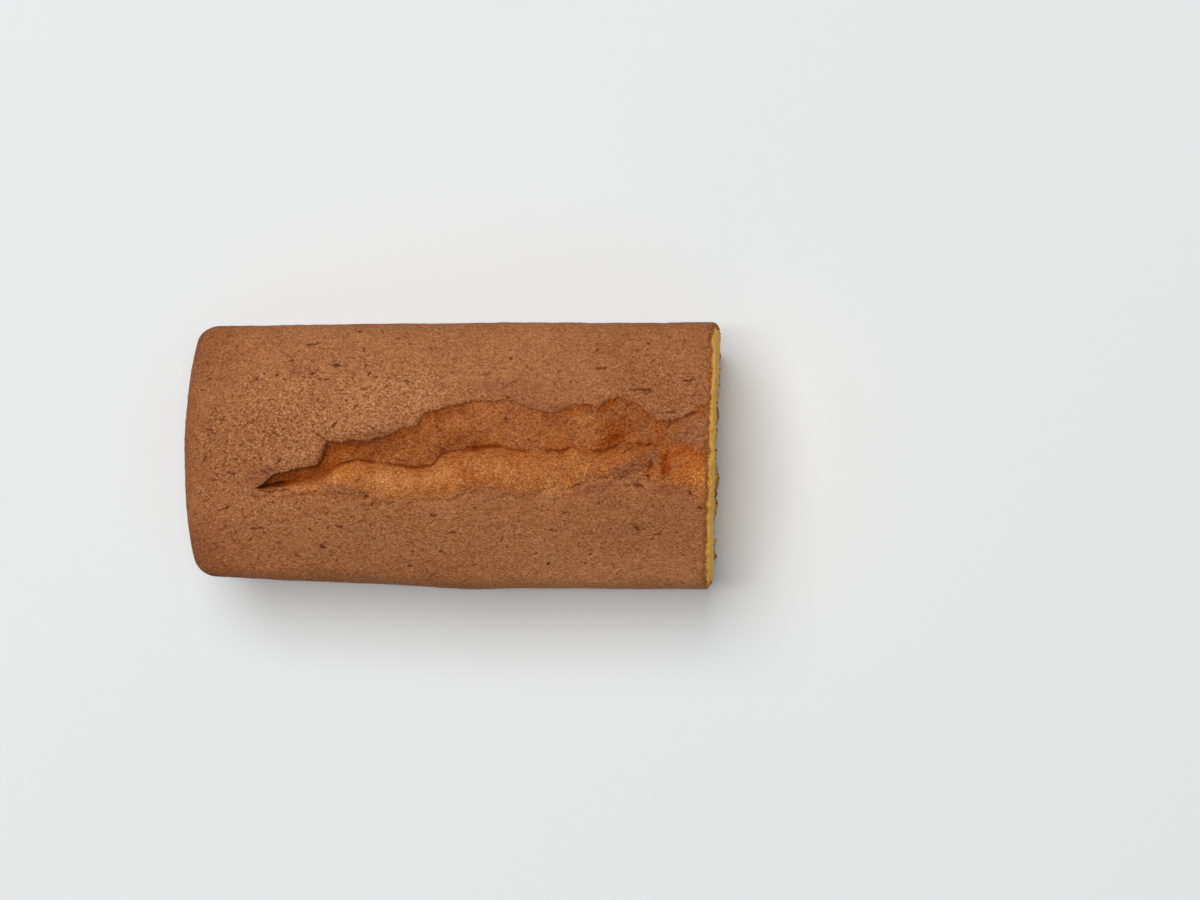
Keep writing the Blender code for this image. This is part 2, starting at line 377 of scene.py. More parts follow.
@dataclass(frozen=True)
class BurstLines:
    """The burst's edges as (x, y) points, and its depths as (x, depth) points, in millimetres."""

    upper_lip: Line = (
        (-106, -7.4), (-90, -9.8), (-78, -12), (-74.5, -12.4), (-71.5, -11.2), (-66, -7),
        (-60, -5.1), (-52, -4), (-49, -1.4), (-47, 5), (-31, 5.6), (-22.5, 8.2), (-18, 10.8),
        (-13.5, 10.6), (-12, 15.4), (-4.5, 17.8), (7, 20.2), (20, 20.8), (26, 18.5), (36.5, 15.3),
        (43, 19.5), (53.8, 18.6), (55.3, 19.8), (57.2, 21.1), (61, 21.8), (68, 19.2), (76, 13),
        (84, 14.2), (92, 19), (102, 21),
    )  # fmt: skip
    crease: Line = (
        (-106, -7.4), (-90, -9.8), (-78, -12), (-74.5, -12.4), (-72, -12.2), (-62, -10.2),
        (-50, -8.8), (-43, -4), (-36, -1.6), (-29, -2.9), (-13, -4.6), (-8, -4.2), (-4, 0.8),
        (15, 3.4), (25, 1.5), (40, 1.5), (45, 3), (50, 1.3), (55, 1.6), (59, 3.0), (63, 5.2),
        (67, 3.6), (74, 3.4), (80, 0.5), (102, 0.4),
    )  # fmt: skip
    lower_lip: Line = (
        (-106, -7.4), (-90, -9.8), (-78, -12), (-74.5, -12.4), (-71.5, -13.1), (-57, -14),
        (-38, -15.6), (-20, -18.1), (3, -15.1), (9, -12.5), (24, -14.6), (43, -13.6), (50, -9.4),
        (70, -7.7), (77, -11.1), (87, -13.3), (90, -17.5), (102, -17.8),
    )  # fmt: skip
    lip_drop: Line = (
        (-74, 0), (-70, 1.1), (-65, 2.2), (-60, 3.0), (-50, 2.8), (-45, 2.1), (-30, 1.9),
        (-14, 2.0), (-8, 1.7), (0, 1.6), (20, 1.6), (40, 1.8), (50, 1.6), (60, 1.6), (68, 1.0),
        (76, 0.6), (84, 0.7), (100, 0.5),
    )  # fmt: skip
    crease_depth: Line = (
        (-74, 0), (-70, 4.6), (-61, 6.0), (-45, 5.4), (-20, 4.8), (2, 5.5), (30, 4.9), (55, 5.1),
        (64, 5.0), (74, 3.2), (80, 1.8), (100, 1.1),
    )  # fmt: skip
    tip: float = -0.0735  # where the burst starts, near the closed end
    bulge: float = 0.0011
    bulge_power: float = 3.0
    bulge_full_depth: float = 0.004
    slope_power: float = 0.85
    under_near: float = 0.35 * MM
    near_fall: float = 0.45  # how steeply it runs on under the near crust
    far_fall: float = 0.1
    rounding: float = 0.9 * MM
    ragged: float = 0.00050
    ragged_waves: Line = ((1.0, 3.1), (0.6, 1.3), (0.35, 0.6))
    noise: Noise = Noise(17)

    def along(self, line: Line, x: Array) -> Array:
        """Reads a line at x, averaged over a few nearby places so that its corners are rounded.

        Args:
            line: the line's points in millimetres.
            x: places along the loaf.

        Returns:
            The line's value at each place, in metres.
        """
        places, values = np.array(line).T * MM
        steps = np.linspace(-self.rounding, self.rounding, 7)
        return np.mean([np.interp(x + step, places, values) for step in steps], axis=0)

    def raggedness(self, x: Array, row: float) -> Array:
        """How far a lip wanders: three sizes of noise along it, none where the burst is shut.

        Args:
            x: places along the loaf.
            row: which line of the noise to read.

        Returns:
            The distance across the loaf at each place.
        """
        points = np.stack([x, np.full_like(x, row), np.zeros_like(x)], axis=-1)
        wander = self.noise.layers(points, *self.ragged_waves)
        return self.ragged * wander * smooth(self.tip, self.tip + 0.004, x)

    def upper(self, x: Array) -> Array:
        """The upper lip's line, ragged."""
        return self.along(self.upper_lip, x) + self.raggedness(x, 1.0)

    def lower(self, x: Array) -> Array:
        """The lower lip's line, ragged."""
        return self.along(self.lower_lip, x) + 1.5 * self.raggedness(x, 2.0)

    def fold(self, x: Array) -> Array:
        """The crease's line, a little wavy."""
        return self.along(self.crease, x) + 0.5 * self.raggedness(x, 3.0)

    def depth(self, x: Array, y: Array) -> Array:
        """How far the burst lies under the crown at each place between and beyond its lips.

        From the lower lip to the crease it is the crease's depth times the share to a power, less a
        swell of half a sine wave. From the crease to the upper lip it goes from the crease's depth
        to the lip's drop, by another power. Past either lip it runs on down under the crust.

        Args:
            x: places along the loaf.
            y: places across it.

        Returns:
            The depth at each place.
        """
        low, fold, lip = self.lower(x), self.fold(x), self.upper(x)
        drop, deep = self.along(self.lip_drop, x), self.along(self.crease_depth, x)
        share = np.clip((y - low) / np.maximum(fold - low, 1e-6), 0, 1)
        swell = self.bulge * np.sin(np.pi * share) * np.minimum(deep / self.bulge_full_depth, 1)
        lower = deep * share**self.bulge_power - swell + self.under_near * (1 - share)
        share = np.clip((y - fold) / np.maximum(lip - fold, 1e-6), 0, 1)
        upper = mix(deep, drop, share**self.slope_power)
        depth = np.where(y < fold, lower, upper)
        depth = depth + np.maximum(low - y, 0) * self.near_fall
        return depth + np.maximum(y - lip, 0) * self.far_fall


@dataclass(frozen=True)
class Mark:
    """One crack or pit on the crown: its middle, length and width in millimetres, and its turn."""

    x: float
    y: float
    length: float
    turn: float = 0.0
    width: float = 0.35
    depth: float = 0.7


@dataclass(frozen=True)
class Zone:
    """A soft oval where a finish changes: middle and radii in millimetres, turn, and how much."""

    x: float
    y: float
    long: float
    wide: float
    turn: float = 0.0
    amount: float = 1.0


def rows_of(kind: type, *rows: tuple[float, ...]) -> tuple[Any, ...]:
    """Makes a mark or a zone of each row of numbers."""
    return tuple(kind(*row) for row in rows)


@dataclass(frozen=True)
class CrownMarks:
    """The cracks and pits of the crown, placed and scattered."""

    marks: tuple[Mark, ...] = rows_of(
        Mark,
        (-53, 41.5, 5.2, 12, 0.4), (-43, 33.6, 7.4, -2, 0.5, 0.9), (-47.7, 27.9, 7.4, 0, 0.4),
        (-53.1, 31.2, 3.4, -55, 0.4), (-60.8, 35.4, 1.8, -20, 0.5), (-66.1, 30.3, 1.6, 10, 0.6),
        (-71.1, 30.5, 1, 70), (-32.7, 33.1, 1.8, 70, 0.5), (-18, 27.3, 3.5, 20),
        (-8.6, 39.8, 1.6, -30), (-18.5, 44.4, 1.3, -40), (-43.9, 12, 3.8, 48, 0.45),
        (-74.8, 15.8, 2.2, 60), (-86.5, 13.1, 2.9, -5, 0.4), (-91.7, 9.6, 2.5, 10, 0.5),
        (-93.3, -1.7, 4, 50, 0.4), (-83.1, -7.1, 3, -8, 0.5), (-89.6, -9.5, 4, 10),
        (-61.6, 13.5, 1.6, 30), (-54.1, 15.4, 2.6, 35), (-49.6, 7.4, 6, -38, 0.45, 0.9),
        (-64.3, -2.2, 2.4, 55, 0.4), (-85.1, -19.9, 1.6, 10), (-73.4, -27.6, 6, 0),
        (-53.5, -27.7, 1, 0, 0.5), (-42.1, -26.7, 4, -20), (-48.9, -34, 2.6, 0, 0.5, 0.9),
        (-7.2, -22.3, 3, 0, 0.45), (-47.4, -21.6, 2.5, 45), (-16.6, -41.6, 2, 5),
        (-29.8, -31.9, 2, -10), (-5, -36, 1.5, 10), (54.8, 32.5, 4.4, 12, 0.4),
        (68, 24.3, 11, 2, 0.35), (72.5, 24.1, 4.5, 0, 0.5, 0.9), (87.5, 28, 5.5, -2, 0.4),
        (91.3, 6.9, 4, 0), (26.5, -14.3, 3.6, 30, 0.45), (37.3, -28.1, 3, -5, 0.4),
        (69, -27.3, 4.4, -8, 0.5, 0.9), (75.7, -29.6, 3, 10), (73.9, -31.4, 2, 10, 0.45),
        (84.6, -37.2, 2.6, -5, 0.5, 0.9), (80.2, 15.9, 4.2, 8, 0.5, 0.45), (50.8, -37.1, 1.5, 45),
        (48.1, -40.4, 3, -8), (35.5, -40.6, 2, 0), (53.1, 39.4, 1.5, 80, 0.45),
        (72.4, 42.2, 1.2, 20), (21.3, 36, 1.4, 10, 0.4), (67.4, -11.4, 8, -15, 0.5, 0.8),
        (88.8, -16.2, 3.4, 80, 0.5, 0.9), (91.8, -19.8, 3, -25, 0.6, 1), (-33, 22, 2.2, 15),
        (-63, 24, 2, -30), (-79, 4, 2.4, 40), (-70, 8.5, 2, -60), (-35.5, 46.5, 2, 5),
        (12, 30, 2.2, -5), (40, 28, 2, 15), (-58, -20, 3, 8), (0, -29, 2.4, 5),
        (20, -34, 2, -12),
    )  # fmt: skip
    scattered: int = 300
    spans: tuple[float, float, float, float] = (-98, 93, -45, 46)  # lowest and highest x, then y
    thin_from: float = -20
    thin_share: float = 0.45
    scatter_turn: Pair = (12, 32)
    scatter_widths: Pair = (0.20, 0.34)
    scatter_depths: Pair = (0.2, 0.55)
    slimness: float = 0.92
    depth_share: float = 0.6
    fringe: float = 1.5 * MM
    unbroken: float = 2.0
    full_dark_depth: float = 0.55
    seed: int = 41
    noise: Noise = Noise(23)

    def everywhere(self) -> list[Mark]:
        """The placed marks and small scattered ones, most of them near the closed end.

        Returns:
            Every crack and pit of the crusts.
        """
        rng = np.random.default_rng(self.seed)
        found = list(self.marks)
        low_x, high_x, low_y, high_y = self.spans
        for _ in range(self.scattered):
            x, y = rng.uniform(low_x, high_x), rng.uniform(low_y, high_y)
            if x > self.thin_from and rng.random() < self.thin_share:
                x = rng.uniform(low_x, self.thin_from)
            length = rng.gamma(2.0, 0.6) + 0.7
            turn = rng.normal(*self.scatter_turn)
            width, depth = rng.uniform(*self.scatter_widths), rng.uniform(*self.scatter_depths)
            found.append(Mark(x, y, length, turn, width, depth))
        return found

    def cut_into(self, points: Array, marks: tuple[Mark, ...] | list[Mark]) -> tuple[Array, Array]:
        """The cracks' depth at each point: a bell across each mark, that fades at its two ends.

        A mark wanders from its straight line and narrows, widens and breaks up along it with noise.

        Args:
            points: positions on the crown.
            marks: the cracks and pits.

        Returns:
            The depth in metres, and how dark the crack is, from 0 to 1.
        """
        depth = np.zeros(points.shape[:-1])
        dark = np.zeros(points.shape[:-1])
        wander = MM * self.noise.layers(points, (0.55, 2.3), (0.30, 0.9))
        pinch = 0.95 + 0.45 * self.noise.value(points + 0.3, 1.1 * MM)
        broken = 0.25 + 0.75 * smooth(-0.55, -0.05, self.noise.value(points, 1.2 * MM))
        x, y = points[..., 0], points[..., 1]
        for mark in marks:
            half = max(0.56 * mark.length, mark.width) * MM
            reach = half + self.fringe
            near = (np.abs(x - mark.x * MM) < reach) & (np.abs(y - mark.y * MM) < reach)
            if not near.any():
                continue
            runs, across = turned(x[near] - mark.x * MM, y[near] - mark.y * MM, mark.turn)
            ends = np.sqrt(np.clip(1 - (runs / half) ** 2, 0, 1))
            width = self.slimness * mark.width * MM * mix(0.30, 1.0, ends) * pinch[near]
            share = bell(across + wander[near], width) * ends
            share *= 1 if mark.length < self.unbroken else broken[near]
            depth[near] = np.maximum(depth[near], share * mark.depth * self.depth_share * MM)
            darkest = min(mark.depth / self.full_dark_depth, 1)
            dark[near] = np.maximum(dark[near], np.minimum(1.6 * share, 1) * darkest)
        return depth, dark


def zones_at(points: Array, zones: tuple[Zone, ...], noise: Noise) -> Array:
    """How far the points lie inside soft ovals whose outlines wander with noise.

    Args:
        points: positions on the crown.
        zones: the ovals.
        noise: what the outlines wander with.

    Returns:
        The sum of the zones' amounts, each full in its middle and eased off at its outline.
    """
    total = np.zeros(points.shape[:-1])
    wander = noise.fractal(points, 5 * MM, 3)
    x, y = points[..., 0] / MM, points[..., 1] / MM
    for zone in zones:
        runs, across = turned(x - zone.x, y - zone.y, zone.turn)
        away = np.hypot(runs / zone.long, across / zone.wide) - 0.35 * wander
        total += zone.amount * smooth(1.25, 0.45, away)
    return total


# --- Closed skins ---


@dataclass
class Skin:
    """One grid of surface, closed behind by two fans of faces that meet on a hidden line.

    Fields are the values, one for each grid point, that the finishes read.
    """

    name: str
    outer: Array
    spine: Spine
    fields: dict[str, Array] = field(default_factory=dict)
    sharp_row: int = -1
    sharp_columns: int = 0
    margin: float = 0.03
    back_margin: float = 0.004

    def faces(self) -> tuple[NDArray[np.int64], NDArray[np.int64]]:
        """The grid's quads and the two bands of quads behind it, then the two end fans.

        Returns:
            Quads as rows of four vertices, and triangles as rows of three.
        """
        rows, columns = self.outer.shape[:2]
        index = np.arange(rows * columns).reshape(rows, columns)
        spine = rows * columns + np.arange(columns)
        grid = [index[:-1, :-1], index[:-1, 1:], index[1:, 1:], index[1:, :-1]]
        first = [index[0, 1:], index[0, :-1], spine[:-1], spine[1:]]
        last = [index[-1, :-1], index[-1, 1:], spine[1:], spine[:-1]]
        bands = [np.stack([part.ravel() for part in band], 1) for band in (grid, first, last)]
        start, end = np.full(rows - 1, spine[0]), np.full(rows - 1, spine[-1])
        fans = [
            np.stack([index[:-1, 0], index[1:, 0], start], 1),
            np.stack([index[1:, -1], index[:-1, -1], end], 1),
        ]
        return np.concatenate(bands), np.concatenate(fans)

    def flat_map(self) -> tuple[Array, Array]:
        """The piece's own flat map: the grid in the middle, the faces behind in its margins.

        Returns:
            A place for each corner of the quads, and for each corner of the triangles.
        """
        rows, columns = self.outer.shape[:2]
        u = np.linspace(self.margin, 1 - self.margin, columns)
        v = np.linspace(self.margin, 1 - self.margin, rows)
        lattice = np.stack(np.broadcast_arrays(u, v[:, None]), -1)
        grid = np.stack(
            [lattice[:-1, :-1], lattice[:-1, 1:], lattice[1:, 1:], lattice[1:, :-1]], 2
        ).reshape(-1, 4, 2)
        borders = (self.back_margin, 1 - self.back_margin)
        low, high = (np.stack([u, 0 * u + border], -1) for border in borders)
        first = np.stack([lattice[0, 1:], lattice[0, :-1], low[:-1], low[1:]], 1)
        last = np.stack([lattice[-1, :-1], lattice[-1, 1:], high[1:], high[:-1]], 1)
        middle = (v[:-1] + v[1:]) / 2
        left, right = (np.stack([0 * middle + border, middle], -1) for border in borders)
        fans = [
            np.stack([lattice[:-1, 0], lattice[1:, 0], left], 1),
            np.stack([lattice[1:, -1], lattice[:-1, -1], right], 1),
        ]
        return np.concatenate([grid, first, last]), np.concatenate(fans)

    def build(self, material: bpy.types.Material, slot: Slot) -> bpy.types.Object:
        """Makes the closed mesh, with its faces outwards, and ties it to the frame.

        Args:
            material: the piece's finish.
            slot: not used.

        Returns:
            The new object.
        """
        rows, columns = self.outer.shape[:2]
        ends = np.array(self.spine)
        spine = mix(ends[0], ends[1], np.linspace(0, 1, columns)[:, None])
        points = np.concatenate([self.outer.reshape(-1, 3), spine])
        quads, fans = self.faces()
        quad_map, fan_map = self.flat_map()
        halves = np.concatenate([quads[:, [0, 1, 2]], quads[:, [0, 2, 3]], fans])
        a, b, c = (points[halves[:, i]] for i in range(3))
        if np.einsum("ij,ij->i", a, np.cross(b, c)).sum() < 0:
            quads, fans, quad_map, fan_map = (p[:, ::-1] for p in (quads, fans, quad_map, fan_map))

        mesh = bpy.data.meshes.new(self.name)
        mesh.vertices.add(len(points))
        mesh.vertices.foreach_set("co", points.astype(np.float32).ravel())
        mesh.loops.add(quads.size + fans.size)
        mesh.loops.foreach_set("vertex_index", np.concatenate([quads.ravel(), fans.ravel()]))
        mesh.polygons.add(len(quads) + len(fans))
        starts = [np.arange(len(quads)) * 4, quads.size + np.arange(len(fans)) * 3]
        mesh.polygons.foreach_set("loop_start", np.concatenate(starts))
        mesh.update(calc_edges=True)
        mesh.validate()
        self.mark_sharp(mesh)
        layer = mesh.uv_layers.new(name="OFBake")
        places = np.concatenate([quad_map.ravel(), fan_map.ravel()])
        layer.uv.foreach_set("vector", places.astype(np.float32))
        for name, values in self.fields.items():
            front = np.broadcast_to(values, (rows, columns)).ravel()
            add_field(mesh, name, np.concatenate([front, np.zeros(columns)]))
        return join_frame(mesh, material)

    def mark_sharp(self, mesh: bpy.types.Mesh) -> None:
        """Marks the grid's border sharp, so that the faces behind don't bend its shading.

        Args:
            mesh: the piece's mesh, with its edges worked out.
        """
        rows, columns = self.outer.shape[:2]
        ends = np.empty(len(mesh.edges) * 2, np.int32)
        mesh.edges.foreach_get("vertices", ends)
        ends = ends.reshape(-1, 2)
        on_grid = (ends < rows * columns).all(axis=1)
        row, column = ends // columns, ends % columns
        sharp = np.zeros(len(ends), bool)
        for line in (0, rows - 1):
            sharp |= (row == line).all(axis=1)
        for line in (0, columns - 1):
            sharp |= (column == line).all(axis=1)
        sharp |= (row == self.sharp_row).all(axis=1) & (column < self.sharp_columns).all(axis=1)
        attribute = mesh.attributes.new("sharp_edge", "BOOLEAN", "EDGE")
        attribute.data.foreach_set("value", sharp & on_grid)


def add_field(mesh: bpy.types.Mesh, name: str, values: Array) -> None:
    """Gives a mesh a named value at each of its points, for the finishes to read."""
    attribute = mesh.attributes.new(name, "FLOAT", "POINT")
    attribute.data.foreach_set("value", values.astype(np.float32))


def join_frame(
    mesh: bpy.types.Mesh, material: bpy.types.Material
) -> bpy.types.Object:
    """Makes a piece that rides with the loaf, stands for its plain solid and takes its finish.

    Args:
        mesh: the finished mesh, whose name the piece takes.
        material: its finish.

    Returns:
        The new piece.
    """
    mesh.materials.append(material)
    piece = bpy.data.objects.new(mesh.name, mesh)
    bpy.context.scene.collection.objects.link(piece)
    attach(piece, BODY)
    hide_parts(NODE)
    piece.data.calc_loop_triangles()
    LOG.info("%s: %d triangles", piece.name, len(piece.data.loop_triangles))
    return piece


# --- Finishes ---


class NodeBench:
    """Adds shader nodes to one material and joins them."""

    sockets = ("Base Color", "Roughness", "Normal", "Specular IOR Level")

    def __init__(self, name: str) -> None:
        """Starts a material with a lone surface shader.

        Args:
            name: the material's name.
        """
        self.material = bpy.data.materials.new(name)
        self.material.use_nodes = True
        self.tree = self.material.node_tree
        self.shader = self.tree.nodes["Principled BSDF"]
        self.place = self.add("ShaderNodeTexCoord").outputs["Object"]

    def add(self, kind: str, inputs: Inputs | None = None, **settings: Any) -> bpy.types.Node:
        """Adds a node.

        Args:
            kind: the node's type.
            inputs: what each input takes: a value, or another node's output.
            settings: the node's own settings.

        Returns:
            The node.
        """
        node = self.tree.nodes.new(kind)
        for name, value in settings.items():
            setattr(node, name, value)
        self.feed(node, inputs or {})
        return node

    def feed(self, node: bpy.types.Node, inputs: Inputs) -> None:
        """Gives a node's inputs their values, or joins them to other nodes' outputs.

        Args:
            node: the node.
            inputs: what each input takes.
        """
        for name, value in inputs.items():
            if isinstance(value, bpy.types.NodeSocket):
                self.tree.links.new(value, node.inputs[name])
            else:
                node.inputs[name].default_value = value

    def stretched(self, x: float, y: float, z: float) -> bpy.types.NodeSocket:
        """Object coordinates, scaled along each axis."""
        return self.add("ShaderNodeMapping", {"Vector": self.place, "Scale": (x, y, z)}).outputs[0]

    def noise(self, size: float, detail: float = 2.0, place: Any = None, rough: float = 0.5) -> Any:
        """Smooth noise, 0 to 1, with features of that size in metres."""
        inputs = {"Vector": place or self.place, "Scale": 1 / size, "Detail": detail}
        return self.add("ShaderNodeTexNoise", inputs | {"Roughness": rough}).outputs["Fac"]

    def cells(self, size: float, place: Any = None) -> tuple[Any, Any]:
        """Cellular noise: each cell holds one scattered point.

        Args:
            size: the cells' size in metres.
            place: coordinates to use in place of the object's own.

        Returns:
            The distance to the nearest point, as a share of size, and that point's own value.
        """
        node = self.add("ShaderNodeTexVoronoi", {"Vector": place or self.place, "Scale": 1 / size})
        split = self.add("ShaderNodeSeparateColor", {0: node.outputs["Color"]})
        return node.outputs["Distance"], split.outputs[0]

    def sums(self, operation: str, a: Any, b: Any = 0.0, c: Any = 0.0) -> Any:
        """One sum on two or three values."""
        return self.add("ShaderNodeMath", {0: a, 1: b, 2: c}, operation=operation).outputs[0]

    def fold(self, operation: str, *values: Any) -> Any:
        """The same sum on two values after another, from the first to the last."""
        return functools.reduce(functools.partial(self.sums, operation), values)

    def total(self, *values: Any) -> Any:
        """All the values added up."""
        return self.fold("ADD", *values)

    def product(self, *values: Any) -> Any:
        """All the values multiplied."""
        return self.fold("MULTIPLY", *values)

    def most(self, *values: Any) -> Any:
        """The highest of the values."""
        return self.fold("MAXIMUM", *values)

    def plus(self, value: Any, weight: float, base: Any) -> Any:
        """A weight of the value on top of the base."""
        return self.sums("MULTIPLY_ADD", value, weight, base)

    def about(self, value: Any, weight: float) -> Any:
        """A weight of a value from 0 to 1, moved so that it lies around 0."""
        return self.plus(value, weight, -weight / 2)

    def spread(self, value: Any, low: float, high: float, to: Pair = (0, 1)) -> Any:
        """Stretches values from low to high over the range to, and holds them inside it."""
        names = ("Value", "From Min", "From Max", "To Min", "To Max")
        return self.add("ShaderNodeMapRange", dict(zip(names, (value, low, high, *to)))).outputs[0]

    def field(self, name: str) -> Any:
        """A value that the piece's grid holds."""
        return self.add("ShaderNodeAttribute", attribute_name=name).outputs["Fac"]

    def blend(self, share: Any, a: Any, b: Any, how: str = "MIX") -> Any:
        """Blends colour a into colour b by a share from 0 to 1."""
        node = self.add("ShaderNodeMix", {0: share, 6: a, 7: b}, data_type="RGBA", blend_type=how)
        return node.outputs[2]

    def ramp(self, value: Any, stops: Palette) -> Any:
        """A ramp of colours over values from 0 to 1.

        Args:
            value: what runs along the ramp.
            stops: each colour and where it lies.

        Returns:
            The ramp's colour.
        """
        node = self.add("ShaderNodeValToRGB", {0: value})
        elements = node.color_ramp.elements
        while len(elements) < len(stops):
            elements.new(0.5)
        for element, (position, colour) in zip(elements, stops):
            element.position = position
            element.color = colour
        return node.outputs[0]

    def bump(self, height: Any, distance: float, strength: float = 1.0) -> Any:
        """Bends the shading by a height of 0 to 1, worth that distance."""
        inputs = {"Height": height, "Distance": distance, "Strength": strength}
        return self.add("ShaderNodeBump", inputs).outputs[0]

    def finish(self, colour: Any, rough: Any, normal: Any, specular: float) -> bpy.types.Material:
        """Wires the surface shader, with one specular level all over, and returns the material."""
        self.feed(self.shader, dict(zip(self.sockets, (colour, rough, normal, specular))))
        return self.material


@dataclass(frozen=True)
class BakedFinish:
    """The browned crust and the paler burst, as one finish that reads how baked each place is.

    Fields: baked (0 the burst's moist inside, 1 crust), dusky (purple-brown), glow (moist orange,
    and painted orange bounce light along the crease), crack (dark: cracks and pits, and painted
    shade in the crease, the cavity, under the far lip and where the far crust turns down), shade
    (a little darker or lighter, around 0: random tone and painted shade), coarse (how sandy the
    crust is). A pale haze of painted sheen goes over all but the burst's deep places.
    """

    name: str = "baked_crust"
    crust: Palette = palette(
        (0.0, 92, 41, 12), (0.28, 131, 73, 33), (0.5, 156, 96, 54),
        (0.72, 178, 118, 74), (1.0, 210, 154, 107),
    )
    inside: Palette = palette(
        (0.0, 110, 46, 3), (0.28, 142, 73, 17), (0.5, 165, 92, 33),
        (0.72, 186, 114, 52), (1.0, 224, 166, 104),
    )
    dusky: Colour = tone(220, 198, 204)
    # A moist orange tint; along the crease it is painted orange bounce light.
    moist_orange_and_bounce: Colour = tone(255, 226, 40)
    # The dark of the crust's cracks and of the painted shade where the far crust turns down; hollow
    # is the dark of the burst's cracks and of the painted shade in its crease, cavity and under the
    # far lip.
    crack: Colour = tone(100, 46, 5)
    hollow: Colour = tone(106, 42, 0)
    # Pale sugar specks, partly painted glints.
    speck_and_glint: Colour = tone(222, 172, 112)
    # Painted sheen: a pale haze added to the colour in place of the specular reflection.
    painted_sheen_inside: Colour = (0.015, 0.014, 0.013, 1.0)
    painted_sheen_crust: Colour = (0.0105, 0.0110, 0.0115, 1.0)
    grain: float = 0.60 * MM
    clump: float = 1.5 * MM
    blotch: float = 3.6 * MM
    cloud: float = 15 * MM
    sand: float = 0.74 * MM
    specks: float = 0.66 * MM
    pits: float = 1.25 * MM
    streaks: float = 0.60 * MM
    crackle_cells: float = 2.7 * MM
    crackle_wobble: float = 1.1 * MM
    crackle_patches: float = 1.9 * MM
    long_grain: Triple = (0.78, 1.0, 1.0)
    relief: float = 0.33 * MM
    specular: float = 0.05

    def material(self) -> bpy.types.Material:
        """Builds the finish.

        The grain is noise of four sizes and sandy cells, summed about one half, and each palette is
        a ramp over it. Specks, pale sugar grains that are partly painted glints, are the middles of a
        few small cells and pits those of a few larger ones. Crackle and streaks are the other dark
        marks. A pale haze of painted sheen goes over the colour last. The height is all of them.

        Returns:
            The material.
        """
        bench = NodeBench(self.name)
        place = bench.stretched(*self.long_grain)
        names = ("baked", "dusky", "moist_orange_and_bounce", "crack", "shade", "coarse")
        baked, dusky, moist_orange_and_bounce, crack, shade, coarse = (bench.field(name) for name in names)
        fine = bench.noise(self.grain, 2.0, place, 0.6)
        clumps = bench.noise(self.clump, 2.0, place, 0.55)
        middle = bench.noise(self.blotch, 3.0, place)
        broad = bench.noise(self.cloud, 2.0)
        sand_near, sand_value = bench.cells(self.sand, place)

        sand = bench.total(bench.plus(sand_near, -0.62, 0.34), bench.about(sand_value, 0.16))
        grain = bench.total(bench.about(fine, 0.85), sand, bench.about(clumps, 0.42))
        strength = bench.product(
            bench.spread(coarse, 0, 1, (0.67, 1.07)), bench.spread(baked, 0, 1, (1.14, 1))
        )
        grain = bench.total(
            bench.product(grain, strength),
            bench.about(middle, 0.26),
            bench.about(broad, 0.16),
            bench.total(shade, 0.5),
        )
        colour = bench.blend(baked, bench.ramp(grain, self.inside), bench.ramp(grain, self.crust))
        colour = bench.blend(bench.spread(dusky, 0, 1), colour, self.dusky, "MULTIPLY")
        colour = bench.blend(bench.spread(moist_orange_and_bounce, 0, 1), colour, self.moist_orange_and_bounce, "MULTIPLY")

        # Sugar specks, partly painted glints: shown less where the shade is low.
        near, value = bench.cells(self.specks)
        speck_and_glint = bench.product(bench.spread(near, 0.45, 0.2), bench.spread(value, 0.5, 0.85))
        speck_where_lit = bench.product(
            bench.spread(baked, 0.1, 0.9, (0.85, 0.45)), bench.spread(shade, -0.12, 0.02, (0.12, 1))
        )
        colour = bench.blend(bench.product(speck_and_glint, speck_where_lit), colour, self.speck_and_glint)
        near, value = bench.cells(self.pits, bench.stretched(0.6, 1.0, 1.0))
        pit = bench.product(
            bench.spread(near, 0.32, 0.12),
            bench.spread(value, 0.7, 0.9),
            bench.spread(baked, 0.2, 0.8, (0.15, 0.6)),
        )
        crackle = self.crackle(bench, coarse, baked, middle)
        marks = bench.most(bench.spread(crack, 0.1, 0.8), pit, crackle)
        colour = bench.blend(marks, colour, bench.blend(baked, self.hollow, self.crack))
        # Painted sheen: a pale haze added to the colour, left out where the shade is low on the
        # burst's inside.
        deep = bench.product(bench.spread(shade, -0.10, -0.34), bench.spread(baked, 0.7, 0.2))
        painted_sheen = bench.blend(baked, self.painted_sheen_inside, self.painted_sheen_crust)
        colour = bench.blend(bench.sums("SUBTRACT", 1.0, deep), colour, painted_sheen, "ADD")

        height = bench.plus(sand_near, -0.55, bench.plus(fine, 0.55, 0.4))
        height = bench.plus(clumps, 0.9, height)
        height = bench.product(height, bench.spread(coarse, 0, 1, (0.72, 1.1)))
        height = bench.plus(speck_and_glint, 0.25, bench.plus(middle, 0.5, height))
        height = bench.plus(bench.most(pit, crackle), -0.8, height)
        rough = bench.sums("SUBTRACT", bench.spread(baked, 0, 1, (0.5, 0.68)), 0.09)
        rough = bench.plus(fine, 0.18, rough)
        return bench.finish(colour, rough, bench.bump(height, self.relief), self.specular)

